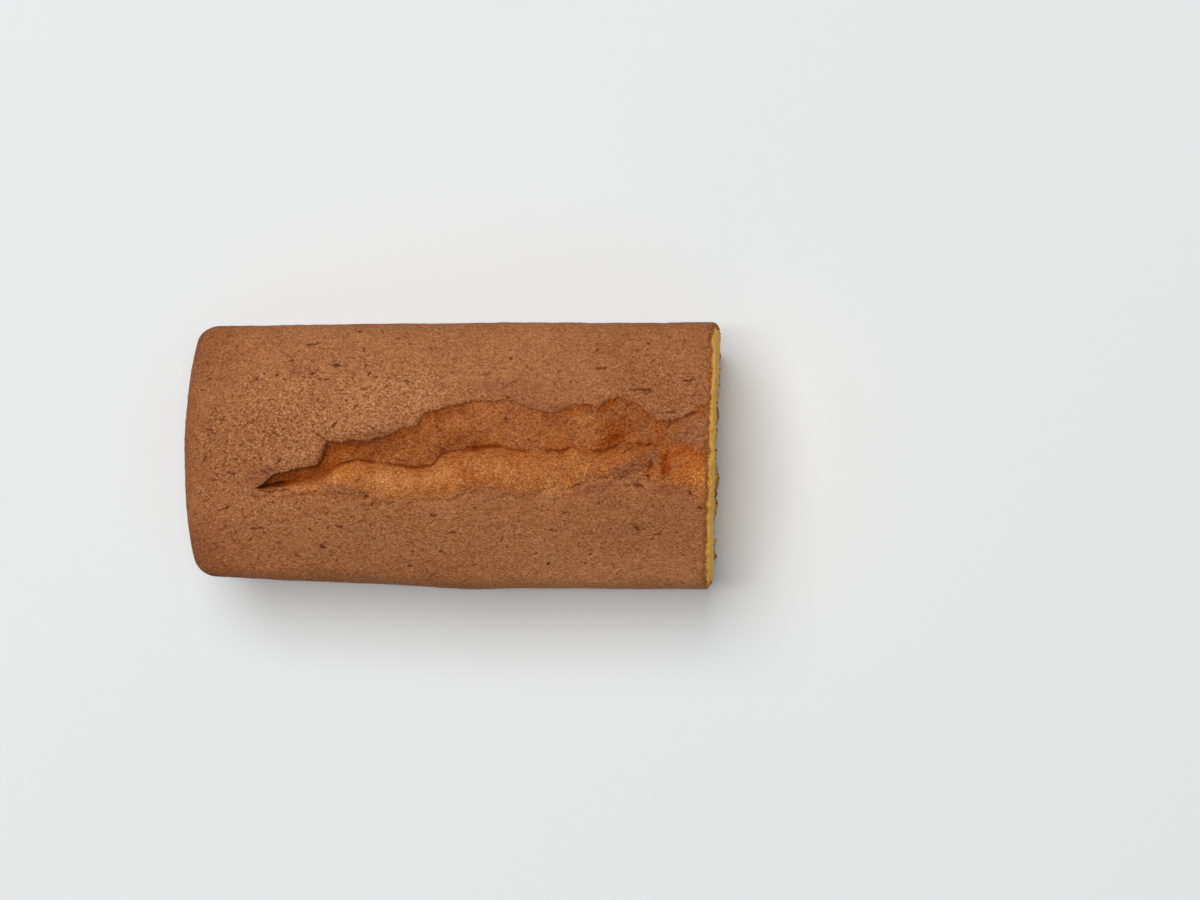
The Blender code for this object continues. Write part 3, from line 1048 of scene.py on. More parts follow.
    def crackle(self, bench: NodeBench, coarse: Any, baked: Any, middle: Any) -> Any:
        """Short thin cracks and dark streaks, kept where noise is high.

        The cracks are the borders of bent cells. The streaks are the low places of noise that is
        stretched along the loaf.

        Args:
            bench: the material's nodes.
            coarse: how sandy the crust is.
            baked: how baked it is.
            middle: noise that thins both out.

        Returns:
            How much of a crack or a streak lies at each place, 0 to 1.
        """
        inputs = {"Vector": bench.place, "Scale": 1 / self.crackle_wobble, "Detail": 2.0}
        wobble = bench.add("ShaderNodeTexNoise", inputs).outputs["Color"]
        inputs = {0: wobble, 1: (0.8 * MM,) * 3, 2: bench.stretched(0.42, 1, 1)}
        bent = bench.add("ShaderNodeVectorMath", inputs, operation="MULTIPLY_ADD").outputs[0]
        inputs = {"Vector": bent, "Scale": 1 / self.crackle_cells}
        cells = bench.add("ShaderNodeTexVoronoi", inputs, feature="DISTANCE_TO_EDGE")
        line = bench.spread(cells.outputs["Distance"], 0.05, 0.012)
        patches = bench.noise(self.crackle_patches, 1.0)
        patches = bench.total(patches, bench.spread(coarse, 0, 1, (-0.07, 0.03)))
        kept = bench.product(bench.spread(patches, 0.58, 0.66), bench.spread(middle, 0.44, 0.56))
        cracks = bench.product(line, kept, bench.spread(baked, 0.3, 0.8, (0.1, 0.85)))

        low = bench.noise(self.streaks, 1.0, bench.stretched(0.34, 1.0, 1.0))
        kept = bench.product(
            bench.spread(coarse, 0, 1, (0.38, 0.62)), bench.spread(middle, 0.36, 0.60)
        )
        streaks = bench.product(bench.spread(low, 0.40, 0.29), kept)
        return bench.most(cracks, bench.product(streaks, bench.spread(baked, 0.1, 0.9, (0.2, 1))))


@dataclass(frozen=True)
class CrumbFinish:
    """The cut's face: yellow crumb with fine cells, turning orange and then brown at its rim.

    Fields: rim (how far inside the outline, in millimetres), pore (0 a wall, 1 a hole's floor).
    """

    name: str = "yellow_crumb"
    crumb: Palette = palette(
        (0.0, 210, 141, 32), (0.3, 235, 177, 66), (0.52, 246, 196, 89),
        (0.78, 251, 212, 113), (1.0, 255, 230, 152),
    )
    toasted: Palette = palette(
        (0.0, 112, 56, 18), (0.34, 150, 86, 36), (0.56, 180, 110, 48),
        (0.8, 210, 142, 68), (1.0, 236, 176, 98),
    )
    pore: Colour = tone(214, 150, 40)
    orange: Colour = tone(250, 181, 84)
    grain: float = 0.55 * MM
    blotch: float = 2.2 * MM
    cloud: float = 11 * MM
    pores: float = 0.85 * MM
    relief: float = 0.45 * MM
    specular: float = 0.2

    def material(self) -> bpy.types.Material:
        """Builds the finish.

        The rim's distance, pushed about by noise, blends the crumb into orange and then into the
        toasted ramp. Fine cells darken between their walls.

        Returns:
            The material.
        """
        bench = NodeBench(self.name)
        fine = bench.noise(self.grain, 2.0, None, 0.6)
        middle = bench.noise(self.blotch, 3.0)
        broad = bench.noise(self.cloud, 2.0)
        near, value = bench.cells(self.pores, bench.stretched(1.0, 1.0, 0.8))
        tint = bench.total(
            bench.about(fine, 0.8),
            bench.about(middle, 0.4),
            bench.about(broad, 0.2),
            bench.plus(near, -0.42, 0.72),
        )
        pore = bench.spread(bench.field("pore"), 0.15, 1.0, (0, 0.8))
        colour = bench.blend(pore, bench.ramp(tint, self.crumb), self.pore)

        frayed = bench.total(bench.about(middle, 2.8), bench.about(fine, 2.0))
        rim = bench.total(bench.field("rim"), frayed)
        colour = bench.blend(bench.spread(rim, 7.5, 3.2, (0, 0.9)), colour, self.orange)
        bits = bench.plus(fine, 1.3, bench.plus(value, 0.3, -0.3))
        colour = bench.blend(bench.spread(rim, 2.9, 1.9), colour, bench.ramp(bits, self.toasted))

        height = bench.plus(near, 0.5, bench.plus(fine, 0.7, 0.0))
        rough = bench.spread(fine, 0.3, 0.7, (0.74, 0.9))
        return bench.finish(colour, rough, bench.bump(height, self.relief, 0.9), self.specular)


# --- The crust and the burst ---


@dataclass(frozen=True)
class Patches:
    """Placed zones and marks: dusky and coarse crust, the burst's inside and its painted shade."""

    dusky: tuple[Zone, ...] = rows_of(
        Zone,
        (24.8, 24, 17, 4.2, 0, 0.45), (34, 17.8, 10, 2.2, -6, 0.6),
        (-40, -13.4, 8.5, 2.2, -8, 0.38), (-19, 12, 10, 2.2, 22, 0.12),
        # The row at (-70.5, -7) is painted shadow where the crust dips towards the burst's tip.
        (-70.5, -7, 9, 4.2, 22, 0.65), (67, -5, 8.5, 4, 26, 0.65),
        (82, -13.2, 6.5, 2.2, -8, 0.7), (52, -12.6, 7, 1.8, 12, 0.7),
        (-58, 32, 5.5, 2.4, -10, 0.45), (-34, 7.6, 12, 1.6, 4, 0.35), (-88, 6, 5, 3, 0, 0.3),
        (86, 10, 6, 3, 20, 0.2), (12, 26, 9, 2.6, 0, 0.25), (61, 12, 5, 3, 20, 0.22),
        (26, -14.6, 6, 1.8, -12, 0.5), (-66, -15.2, 12, 1.6, -4, 0.3),
        (10, -16.5, 8, 1.6, 12, 0.3),
    )  # fmt: skip
    coarse: tuple[Zone, ...] = rows_of(
        Zone,
        (-64, 8, 34, 20, 8, 1), (-28, 16, 34, 12, 14, 0.7), (-72, -20, 26, 10, 0, 0.6),
        (-30, 30, 40, 10, 0, 0.4), (78, 22, 24, 14, 0, 0.5), (-20, -24, 40, 8, 0, 0.35),
    )  # fmt: skip
    folds: tuple[Mark, ...] = rows_of(
        Mark,
        (-67, -11.4, 11, 10, 0.75, 0.45), (-64.8, -11, 5.5, 8, 1.15, 1.5),
        (7.4, 2.9, 6, 3, 0.6, 0.3), (57.4, 20.6, 3.8, 36, 0.9, 0.8),
        (62.5, 6.8, 2.4, 30, 0.5, 0.35), (71, 4.1, 8, -4, 0.5, 0.6),
        (73.2, -3.9, 4.2, 78, 0.8, 0.9), (71.6, -7.8, 2.6, 12, 0.7, 0.8),
        (70.5, -9.2, 3.5, 0, 0.5, 0.4), (82.5, 13.4, 6.4, 22, 0.8, 1.1),
        (88, 15.4, 5.4, 26, 0.9, 1.2), (79.5, 11, 3.4, 55, 0.4, 0.5),
        (91.3, 6.9, 3, 0, 0.35, 0.4), (87.9, -14.6, 4.6, 80, 0.35, 0.5),
        (-27, 9.3, 2, 80, 0.4, 0.4), (42, 12, 3.6, 82, 0.35, 0.3), (30, 5.2, 6, 4, 0.3, 0.3),
        (-20, -2, 8, -6, 0.35, 0.3), (54, 17.2, 2, 70, 0.4, 0.4),
        (89.6, -18.2, 4, -22, 0.5, 0.8), (-32, -15.3, 1.8, 10, 0.7, 0.7),
        (13, 9.8, 5, 48, 0.4, 0.25), (10, 6, 4, 70, 0.35, 0.2),
        (46, -10.8, 5, 34, 0.5, 0.35), (19.5, 13.6, 1.4, 80, 0.5, 0.5),
        (57, 2.6, 3.5, 60, 0.4, 0.35), (64, 1.2, 6, 30, 0.4, 0.4),
    )  # fmt: skip
    blisters: tuple[Mark, ...] = rows_of(
        Mark,
        (-3, 4.9, 2.2, 0, 0.9, 0.7), (62.8, 6.7, 1.2, 0, 0.7, 0.6),
        (10, 12.6, 2.5, 60, 1.2, 0.5),
    )  # fmt: skip
    islands: tuple[Zone, ...] = rows_of(
        Zone,
        (86, 9.4, 7.5, 4.6, 12, 1), (92, 8.5, 5, 6.5, 0, 0.9),
    )  # fmt: skip
    mounds: tuple[Zone, ...] = rows_of(
        Zone,
        (66, -5.4, 8, 4.2, 22, 1), (-40, -13.4, 8.5, 2.2, -8, 0.9),
        (74, -1.6, 4.6, 3, 44, 0.9), (-62, -13.2, 9, 1, -4, 0.6),
        (88, -14.6, 5, 2.2, -20, 0.9), (37, -14.6, 6, 1.4, 0, 0.4),
    )  # fmt: skip
    moist: tuple[Zone, ...] = rows_of(
        Zone,
        (88, -5.8, 7.5, 3.8, 0, 0.6), (91.6, -1.4, 3.6, 3, 0, 1.1), (85.8, 1.4, 4, 1.6, 0, 0.95),
        (-58, -8.6, 11, 2.4, 12, 0.8), (58.6, 5.9, 6.4, 2.4, 18, 1.1),
        (72.9, -5.2, 1.8, 3.4, 0, 0.8), (70, 4.2, 9, 1.3, -5, 0.75), (76, 9, 2.6, 6, 12, 0.4),
        (-44, -1.2, 5, 4, 40, 0.7), (58, 12, 3.5, 5.5, 10, 0.3), (-50, -5, 8, 1.8, 20, 0.6),
        (-38, -6.4, 5, 3, 30, 0.45), (78.8, -4, 3, 4.2, 0, 1), (9, 2.2, 5, 1.4, 4, 0.5),
        (57, 19.2, 4, 1.8, 25, 0.9), (8, -8, 3, 7, 60, 0.25), (24, 0.2, 8, 1.8, 0, 0.4),
        (-26, 1.2, 14, 2.4, -4, 0.4),
    )  # fmt: skip
    golden: tuple[Zone, ...] = rows_of(
        Zone,
        (-40, -6.2, 6, 3, 14, 0.9), (-24, -10.5, 9, 4.5, 0, 0.9), (2, -6, 14, 5, 4, 0.6),
        (26, -6.5, 10, 4.5, 0, 0.6), (39, -13, 5, 2.4, 20, 0.7), (48, 14.5, 4, 3.4, 0, 0.6),
        (-4, 9, 12, 3.5, 10, 0.45), (86, -7, 5, 3, 0, 0.6), (-56, -11.8, 8, 1.7, 10, 0.9),
    )  # fmt: skip
    # Painted shade: darker places of the burst where shade falls; the last row, below 0, is painted
    # light.
    painted_shade: tuple[Zone, ...] = rows_of(
        Zone,
        (-30, 4.5, 20, 5, 2, 0.09), (2, 4, 13, 5, 4, 0.09), (-8, 12.5, 7, 4.5, 40, 0.08),
        (12, 3, 7, 3, 0, 0.09), (60, 8, 8, 13, 0, 0.11), (46, 18, 8, 4, 0, 0.10),
        (70, -2.5, 8, 5, 20, 0.10), (78.6, -4.6, 2.6, 3.6, 0, 0.32), (2, -4, 7, 4, 0, 0.08),
        (34, -3.5, 14, 4, 0, 0.06), (-46, 1, 4, 6, 0, 0.08), (56.4, 5.2, 5.4, 2.2, 14, 0.13),
        (91.5, -7.8, 3.6, 4, 0, -0.16),
    )  # fmt: skip


@dataclass(frozen=True)
class BurstGrid:
    """Where the points of the burst's grid lie, and its three lines at each x."""

    x: Array
    y: Array
    low: Array
    fold: Array
    lip: Array


@dataclass
class Crown:
    """The top and the long walls: two crusts that meet or part along the burst, and its inside."""

    form: LoafForm
    lines: BurstLines
    marks: CrownMarks
    patches: Patches
    columns: int = 660
    far_rows: int = 120
    near_rows: int = 116
    shoulder_rows: int = 19
    wall_rows: int = 56
    end_rows: int = 75
    under_rows: int = 9
    seam: float = 0.72  # where a wall's piece starts, as a share of its height
    spine_side: float = 0.018
    spine_ends: Pair = (-0.0785, 0.070)
    burst_columns: int = 600
    burst_rows: int = 156
    burst_spacing: tuple[float, ...] = (0, 0.05, 0.48, 0.93, 1.0)  # rows between its lines
    burst_spine: Spine = ((-0.050, 0.0, 0.034), (0.070, 0.0, 0.034))
    burst_lead: float = 0.0035  # how far it starts before its tip
    near_tuck: float = 1.6 * MM  # how far it runs on under the crusts
    far_tuck: float = 2.4 * MM
    opening: Pair = (-0.001, 0.006)  # where the lips part, from the tip
    fall_share: float = 0.48  # how much of its lip's drop the far crust bends down
    most_far_fall: float = 0.85 * MM
    near_fall: float = 0.40 * MM
    droop_width: float = 1.7 * MM
    thinnest: float = 0.6 * MM
    cavity_ends: Pair = (-0.056, -0.064)
    cavity_gap: float = 1.4 * MM
    lip_path: tuple[float, ...] = (0, 0.2, 0.45, 0.7, 1.0)
    sloped_down: tuple[float, ...] = (0, 0.3, 0.8, 1.25, 1.8)
    sloped_under: tuple[float, ...] = (0, -0.22, -0.6, -0.75, 1.8)
    hung_down: tuple[float, ...] = (0, 0.35, 0.8, 1, 1.05)
    hung_under: tuple[float, ...] = (0, 0, 0.25, 1.1, 3.4)
    lip_rounding: int = 10  # columns to each side
    lumps: tuple[Triple, ...] = (  # each wave's squeeze along x, height in millimetres and size
        (1, 0.28, 24 * MM), (1, 0.17, 9 * MM), (0.7, 0.11, 3.2 * MM), (0.8, 0.075, 1.4 * MM)
    )  # fmt: skip
    flat_lip: float = 0.025  # the middle of the stretch where the far lip lies flat
    noise: Noise = Noise(5)

    def crust_fields(self, points: Array) -> dict[str, Array]:
        """The fields of plain crust.

        The shade is a pale oval on the far crown, with darker ends and corners, a near shoulder
        that is darker towards the closed end and paler towards the cut, slow noise, and the walls'
        own tone.

        Args:
            points: positions on the crust.

        Returns:
            Each field's values.
        """
        x, y = points[..., 0] / MM, points[..., 1] / MM
        bright = 0.055 * np.exp(-(((x + 26) / 34) ** 2) - ((y - 20) / 15) ** 2)
        right = -0.05 * smooth(38, 70, x)
        ends = -0.03 * smooth(-60, -80, x) - 0.05 * smooth(-84, -101, x)
        ends = ends - 0.12 * smooth(-74, -96, x) * smooth(20, 44, np.abs(y)) - 0.02
        near = -0.05 * smooth(-30, -49, y) * smooth(20, -20, x)
        near = near + 0.13 * smooth(0, 50, x) * smooth(-26, -44, y)
        blotch = 0.025 * self.noise.fractal(points, 16 * MM, 2)
        zero = np.zeros(points.shape[:-1])
        return {
            "baked": zero + 1.0,
            "dusky": zones_at(points, self.patches.dusky, self.noise),
            "moist_orange_and_bounce": zero,
            "crack": zero,
            "shade": bright + right + ends + near + blotch + wall_tone(points),
            "coarse": np.clip(zones_at(points, self.patches.coarse, self.noise), 0, 1),
        }

    def relief(self, points: Array) -> Array:
        """The crust's unevenness, as heights in metres: noise of four sizes, two drawn long."""
        waves = [(h, self.noise.value(points * (run, 1, 1), size)) for run, h, size in self.lumps]
        return sum(height * wave for height, wave in waves) * MM

    def settle(self, points: Array, height: Array) -> Array:
        """Moves points out of the loaf by a height, and keeps them above the table."""
        raised = points + self.form.outward(points) * height[..., None]
        return np.maximum(raised, (-np.inf, -np.inf, 0.0))

    def lip_edge(self, edge: Array, back: float, thick: Array, cavity: Array) -> Array:
        """The broken face under a lip: down from the edge, then back under the crust.

        Where there is a cavity the crust overhangs it, and elsewhere the face slopes outwards. Both
        are profiles that run square to the lip, whose direction is averaged over some columns.

        Args:
            edge: the lip's points.
            back: which way is back under the crust, +1 towards +Y and -1 towards -Y.
            thick: the crust's thickness at each point.
            cavity: from 0 to 1, how much the crust overhangs at each point.

        Returns:
            Rows from furthest under the crust to just below the edge.
        """
        share = np.linspace(1, 0, self.under_rows + 1)[:-1]
        profiles = (self.sloped_down, self.hung_down, self.sloped_under, self.hung_under)
        ways = [np.interp(share, self.lip_path, profile)[:, None] for profile in profiles]
        down = mix(ways[0], ways[1], cavity)
        under = mix(ways[2], ways[3], cavity) * MM
        reach = self.lip_rounding
        padded = np.pad(np.gradient(edge[:, :2], axis=0), ((reach, reach), (0, 0)), mode="edge")
        kernel = np.ones(2 * reach + 1) / (2 * reach + 1)
        along = np.stack([np.convolve(padded[:, i], kernel, "valid") for i in range(2)], -1)
        along /= np.linalg.norm(along, axis=1, keepdims=True)
        rows = np.repeat(edge[None], self.under_rows, axis=0)
        rows[..., 0] -= back * along[:, 1] * under
        rows[..., 1] += back * along[:, 0] * under
        rows[..., 2] -= down * thick
        rough = self.noise.value(rows, 1.1 * MM) * 0.12 * MM
        rows[..., 1] += rough * smooth(0.0, 0.2, share)[:, None]
        return rows

    def flatness(self, x: Array, amount: float, half: float) -> Array:
        """Painted shade left along the far lip where it lies flat: 1, less a flat-topped bell."""
        return 1 - amount * bell(x - self.flat_lip, half, 4)

    def cut_rim(self, skin: Array, from_cut: Array) -> Array:
        """Dark flecks in the crust along the cut, most of them towards its sides.

        Args:
            skin: positions on the crust.
            from_cut: their distance from the cut.

        Returns:
            How dark each place is, 0 to 1.
        """
        frayed = smooth(0.15, 0.75, self.noise.fractal(skin, 1.8 * MM, 2))
        from_cut = from_cut + 0.5 * MM * self.noise.value(skin, 1.3 * MM)
        burnt = 0.05 + 0.45 * smooth(12, 26, np.abs(skin[..., 1] / MM - 2))
        return burnt * frayed * smooth(2.2 * MM, 0.3 * MM, from_cut)

    def lip_wear_and_shade(self, far: bool, fields: dict[str, Array], skin: Array, rim: Array) -> None:
        """Paints shade where the far crust turns down, or pales and tints the near one in patches.

        All are bells or exponentials of the distance from the lip.

        Args:
            far: True for the +Y crust.
            fields: the crust's fields, which it changes.
            skin: positions on the crust.
            rim: their distances from the lip.
        """
        x = self.form.closed_end + np.linspace(0, self.form.length, self.columns)
        parted = self.parted(x)
        fields["baked"] = fields["baked"] - 0.25 * bell(rim, 0.6 * MM, 1) * parted
        if far:
            # Painted shade where the far crust turns down to its lip, in the shade and crack fields.
            strength = mix(0.6, 0.3, smooth(-0.016, 0.0, x)) * self.flatness(x, 0.9, 0.021)
            curl_shade = between(x, (-0.064, -0.050), (0.080, 0.066)) * strength
            curl_shade = curl_shade * bell(rim, 1.1 * MM, 1.5) * parted
            fields["shade"] = fields["shade"] - 0.15 * curl_shade
            patchy = 1 + 0.8 * self.noise.value(skin, 1.3 * MM)
            fields["crack"] = np.maximum(fields["crack"], 0.30 * curl_shade * patchy)
            return
        wander = self.noise.value(skin, 2.4 * MM)
        worn = bell(rim, 1.6 * MM * (1 + 0.8 * wander), 1) * parted
        fields["baked"] = fields["baked"] - 0.22 * worn
        tinted = bell(rim, 1.3 * MM, 1) * smooth(-0.5, 0.6, wander) * parted
        fields["dusky"] = fields["dusky"] + 0.45 * tinted

    def parted(self, x: Array) -> Array:
        """How far the lips have parted at x: 0 before the burst's tip, and 1 soon after it."""
        return smooth(self.lines.tip + self.opening[0], self.lines.tip + self.opening[1], x)

    def crust(self, far: bool) -> Skin:
        """One crust: from its lip over the crown and the shoulder, to a seam on the wall.

        The crust bends down towards its lip by a bell of the distance from it.

        Args:
            far: True for the +Y crust.

        Returns:
            The crust as a skin.
        """
        form, lines = self.form, self.lines
        sign = 1.0 if far else -1.0
        rows = self.far_rows if far else self.near_rows
        x_inset = np.linspace(0, form.length, self.columns)
        x = form.closed_end + x_inset
        lip = lines.upper(x) if far else lines.lower(x)
        half = sign * form.half_width(x, np.full_like(x, sign))
        y = mix(lip, half, np.linspace(0, 1, rows)[:, None])
        width = form.half_width(x + 0 * y, y)
        away = np.abs(y - lip)
        drop = lines.along(lines.lip_drop, x)
        fall = np.minimum(self.fall_share * drop, self.most_far_fall) if far else self.near_fall
        droop = fall * bell(away, self.droop_width, 1.3) * self.parted(x)
        top = form.place(x_inset, y / width, form.wall_height, droop)
        heights = form.wall_height * np.linspace(1, self.seam, self.shoulder_rows + 1)[1:, None]
        skin = np.concatenate([top, form.place(x_inset, sign, heights, 0.0)])

        cracks, dark = self.marks.cut_into(skin, self.marks.everywhere())
        pits, pit_dark = wall_pores(skin, self.noise)
        skin = self.settle(skin, self.relief(skin) - cracks - pits)

        cavity = smooth(*self.cavity_ends, x) if far else 0 * x
        thick = drop - fall - self.cavity_gap * cavity if far else 0 * x
        thick = np.maximum(thick, self.thinnest)
        under = self.lip_edge(skin[0], sign, thick, mix(1.0, cavity, self.parted(x)))
        shut = x < lines.tip
        under[:, shut, :2] = mix(skin[0], under, 0.12)[:, shut, :2]

        fields = self.crust_fields(skin)
        rim_dark = self.cut_rim(skin, form.length - x_inset)
        fields["crack"] = np.maximum(np.maximum(dark, pit_dark), rim_dark)
        rim = np.concatenate([away, np.full((self.shoulder_rows, self.columns), 1.0)])
        self.lip_wear_and_shade(far, fields, skin, rim)
        share = np.linspace(1, 0, self.under_rows)[:, None] + 0 * x
        # The broken face under a lip: painted shade, in the shade and crack fields, deepens towards
        # its foot, most where the crust overhangs.
        below = {
            "baked": 0.85 - 0.55 * share,
            "dusky": 0 * share,
            "moist_orange_and_bounce": 0.1 + 0.45 * share,
            "crack": mix(0.25, 0.7, cavity) * share,
            "shade": -0.02 - 0.2 * share,
            "coarse": 0 * share + 0.6,
        }
        return Skin(
            "crust_far" if far else "crust_near",
            np.concatenate([under, skin]),
            self.spine(sign * self.spine_side, 0.024),
            {name: np.concatenate([below[name], fields[name]]) for name in fields},
            sharp_row=self.under_rows,
            sharp_columns=int(np.argmax(x > lines.tip)),
        )

    def spine(self, y: float, z: float) -> Spine:
        """The two ends of a hidden line that runs along the loaf."""
        return (self.spine_ends[0], y, z), (self.spine_ends[1], y, z)

    def wall(self, far: bool) -> Skin:
        """One long wall, from the crust's seam down to the base.

        Args:
            far: True for the +Y wall.

        Returns:
            The wall as a skin.
        """
        form, sign = self.form, 1.0 if far else -1.0
        x_inset = np.linspace(0, form.length, self.columns)
        heights = form.wall_height * np.linspace(self.seam, 0, self.wall_rows)[:, None]
        skin = form.place(x_inset, sign, heights, 0.0)
        pits, dark = wall_pores(skin, self.noise)
        skin = self.settle(skin, self.relief(skin) - pits)
        fields = self.crust_fields(skin) | {"crack": dark}
        name = "wall_far" if far else "wall_near"
        return Skin(name, skin, self.spine(sign * self.spine_side, 0.020), fields)

    def burst(self) -> Skin:
        """The burst's inside: from under the near crust to under the far crust's lip.

        It goes up the bulge, into the crease and up a slope. Noise of four sizes makes it lumpy,
        and a groove follows the crease as a bell across it.

        Returns:
            The burst as a skin.
        """
        form, lines, noise = self.form, self.lines, self.noise
        start = lines.tip - self.burst_lead - form.closed_end
        x_inset = np.linspace(start, form.length, self.burst_columns)
        x = form.closed_end + x_inset
        low, fold, lip = lines.lower(x), lines.fold(x), lines.upper(x)
        edges = np.stack([low - self.near_tuck, low, fold, lip, lip + self.far_tuck])
        shares = np.linspace(0, 1, self.burst_rows)
        y = np.stack([np.interp(shares, self.burst_spacing, column) for column in edges.T], 1)
        width = form.half_width(x + 0 * y, y)
        depth = lines.depth(x + 0 * y, y)
        skin = form.place(x_inset, y / width, form.wall_height, depth)

        lumps = noise.layers(skin, (0.34, 7.5), (0.20, 3.4), (0.12, 1.7), (0.07, 0.9)) * MM
        wander = smooth(-0.55, 0.25, noise.value(skin, 4.5 * MM))
        groove = bell(y - fold, 0.34 * MM) * between(x, (-0.047, -0.039), (0.080, 0.070))
        groove = groove * (0.5 + 0.5 * wander)
        folds, dark = self.marks.cut_into(skin, self.patches.folds)
        blisters, _ = self.marks.cut_into(skin, self.patches.blisters)
        skin = self.settle(skin, lumps - 0.6 * MM * groove - folds + blisters)
        fields = self.burst_fields(skin, BurstGrid(x, y, low, fold, lip), wander)
        # Painted shade in the crease's groove.
        dark = np.maximum(dark, 0.62 * groove * (0.4 + 0.6 * wander))
        fields["crack"] = np.clip(np.maximum(fields["crack"], dark) + fields.pop("cavity"), 0, 1)
        return Skin("burst", skin, self.burst_spine, fields)

    def burst_fields(self, skin: Array, at: BurstGrid, wander: Array) -> dict[str, Array]:
        """The burst's fields.

        It is more baked near its lips, on knobs of the bulge and in patches, and less in moist
        ones. A dark line of painted shadow follows the far lip as a bell, and painted shade falls by
        exponentials towards that lip and the crease, where orange bounce light is painted too.

        Args:
            skin: positions in the burst.
            at: where its grid lies.
            wander: how much the crease shows, 0 to 1.

        Returns:
            Each field's values, and the painted shade in the cavity.
        """
        noise, patches = self.noise, self.patches
        x, y = at.x, at.y
        groups = (patches.islands, patches.mounds, patches.moist, patches.golden, patches.painted_shade)
        island, mound, orange, golden, painted_shade = (zones_at(skin, zones, noise) for zones in groups)
        near_cut = smooth(0.070, 0.080, x)
        below = (at.fold - y) / (1.2 * MM + 4 * MM * near_cut) + 0.4 * near_cut
        below = smooth(0, 1, below)
        patchy = noise.value(skin, 2.6 * MM)
        edge_low = bell(y - at.low, 1.9 * MM, 1) * (0.7 + 0.6 * patchy)
        edge_high = bell(y - at.lip, 2.0 * MM, 1) * (0.5 + 0.5 * patchy)
        slope = 0.32 * (1 - below) * (0.8 + 0.7 * noise.fractal(skin, 9 * MM, 2))
        knobs = 0.20 * below * smooth(-0.1, 0.8, noise.fractal(skin, 5 * MM, 2))
        baked = np.clip(0.04 + slope + knobs + 0.8 * edge_low + 0.3 * edge_high, 0, 0.85)
        baked = np.clip(np.maximum(baked, np.maximum(island, mound)), 0, 1)
        baked = baked * (1 - 0.8 * np.clip(orange, 0, 1))

        # Painted shadow under the far lip: a dark line just below it, wider and lower where it is
        # sheltered towards the closed end, and painted shade that fades away from it.
        sheltered = smooth(0.0, -0.018, x)
        below_lip = at.lip - y - mix(0.2, 1.2, sheltered) * MM
        painted_lip_line = bell(below_lip, mix(0.6, 1.8, sheltered) * MM)
        painted_lip_line = painted_lip_line * between(x, (-0.056, -0.048), (0.078, 0.060))
        painted_lip_line = painted_lip_line * mix(1, 0.4, sheltered) * self.flatness(x, 0.8, 0.018)
        painted_lip_line = painted_lip_line * smooth(-0.9, 0.1, noise.value(skin, 3.2 * MM))
        painted_lip_shadow = 0.12 * bell(y - at.lip, 1.6 * MM, 1) + 0.09 * bell(y - at.lip, 4.2 * MM)
        painted_lip_shadow = painted_lip_shadow * self.flatness(x, 0.5, 0.021)

        # Painted shade and painted orange bounce light along the crease.
        crease = bell(y - at.fold, 0.8 * MM, 1) * wander
        mottle = smooth(0.05, 0.9, noise.fractal(skin + 0.2, 3.2 * MM, 3))
        mottle = 0.40 * mottle * (1 - np.clip(island + mound, 0, 1))
        island = np.clip(island, 0, 1)
        # Painted shade: the slope above the crease, which faces away from the light, is darker, as
        # are the far lip, the crease and the zones of painted shade.
        shade = 0.05 * noise.fractal(skin, 6 * MM, 3) - 0.09 * (1 - below) + 0.09 * golden - painted_shade
        shade = shade - 0.02 + 0.07 * island - 0.05 * smooth(0.055, 0.066, x)
        shade = shade - painted_lip_shadow - 0.10 * crease * (1 - below)
        dusky = zones_at(skin, patches.dusky, noise)
        far_side = smooth(-1.2 * MM, 1.4 * MM, y - at.fold)
        return {
            "baked": baked,
            "dusky": dusky * (0.35 + 0.65 * np.clip(baked * 1.3, 0, 1)),
            "moist_orange_and_bounce": np.clip(orange + 1.4 * crease + 0.5 * edge_high + mottle, 0, 1),
            "crack": 0.6 * painted_lip_line,
            # Painted shade in the cavity under the far lip, towards the burst's tip.
            "cavity": 0.30 * smooth(-0.040, -0.051, x) * far_side,
            "shade": shade,
            "coarse": 0.25 + 0.5 * baked - 0.45 * island,
        }

    def dress(self, finish: BakedFinish) -> None:
        """Builds the two crusts, their walls and the burst.

        Args:
            finish: the browned crust.
        """
        material = finish.material()
        for far in (True, False):
            self.crust(far).build(material, Slot.CRUST)
            self.wall(far).build(material, Slot.CRUST)
        self.burst().build(material, Slot.CRUST)


def wall_tone(points: Array) -> Array:
    """How much darker the walls bake towards the base: two gentle steps of the height."""
    z = points[..., 2]
    return -0.10 * smooth(0.040, 0.020, z) - 0.12 * smooth(0.008, 0.001, z)


def wall_pores(points: Array, noise: Noise) -> tuple[Array, Array]:
    """Small open pores where the crust lay against the tin: the middles of a few stretched cells.

    They fade out on the shoulder, above the tin.

    Args:
        points: positions on a wall.
        noise: what places the pores.

    Returns:
        Their depth in metres, and how dark they are, from 0 to 1.
    """
    near, value = noise.cells(points * np.array([0.7, 0.7, 1.0]), 3.2 * MM)
    pore = smooth(0.30, 0.10, near) * smooth(0.6, 0.85, value)
    near, value = noise.cells(points, 1.5 * MM)
    fine = smooth(0.42, 0.18, near) * smooth(0.6, 0.85, value)
    on_wall = smooth(0.041, 0.034, points[..., 2])
    depth = (0.42 * pore + 0.16 * fine) * on_wall * MM
    return depth, np.maximum(0.7 * pore, 0.35 * fine) * on_wall


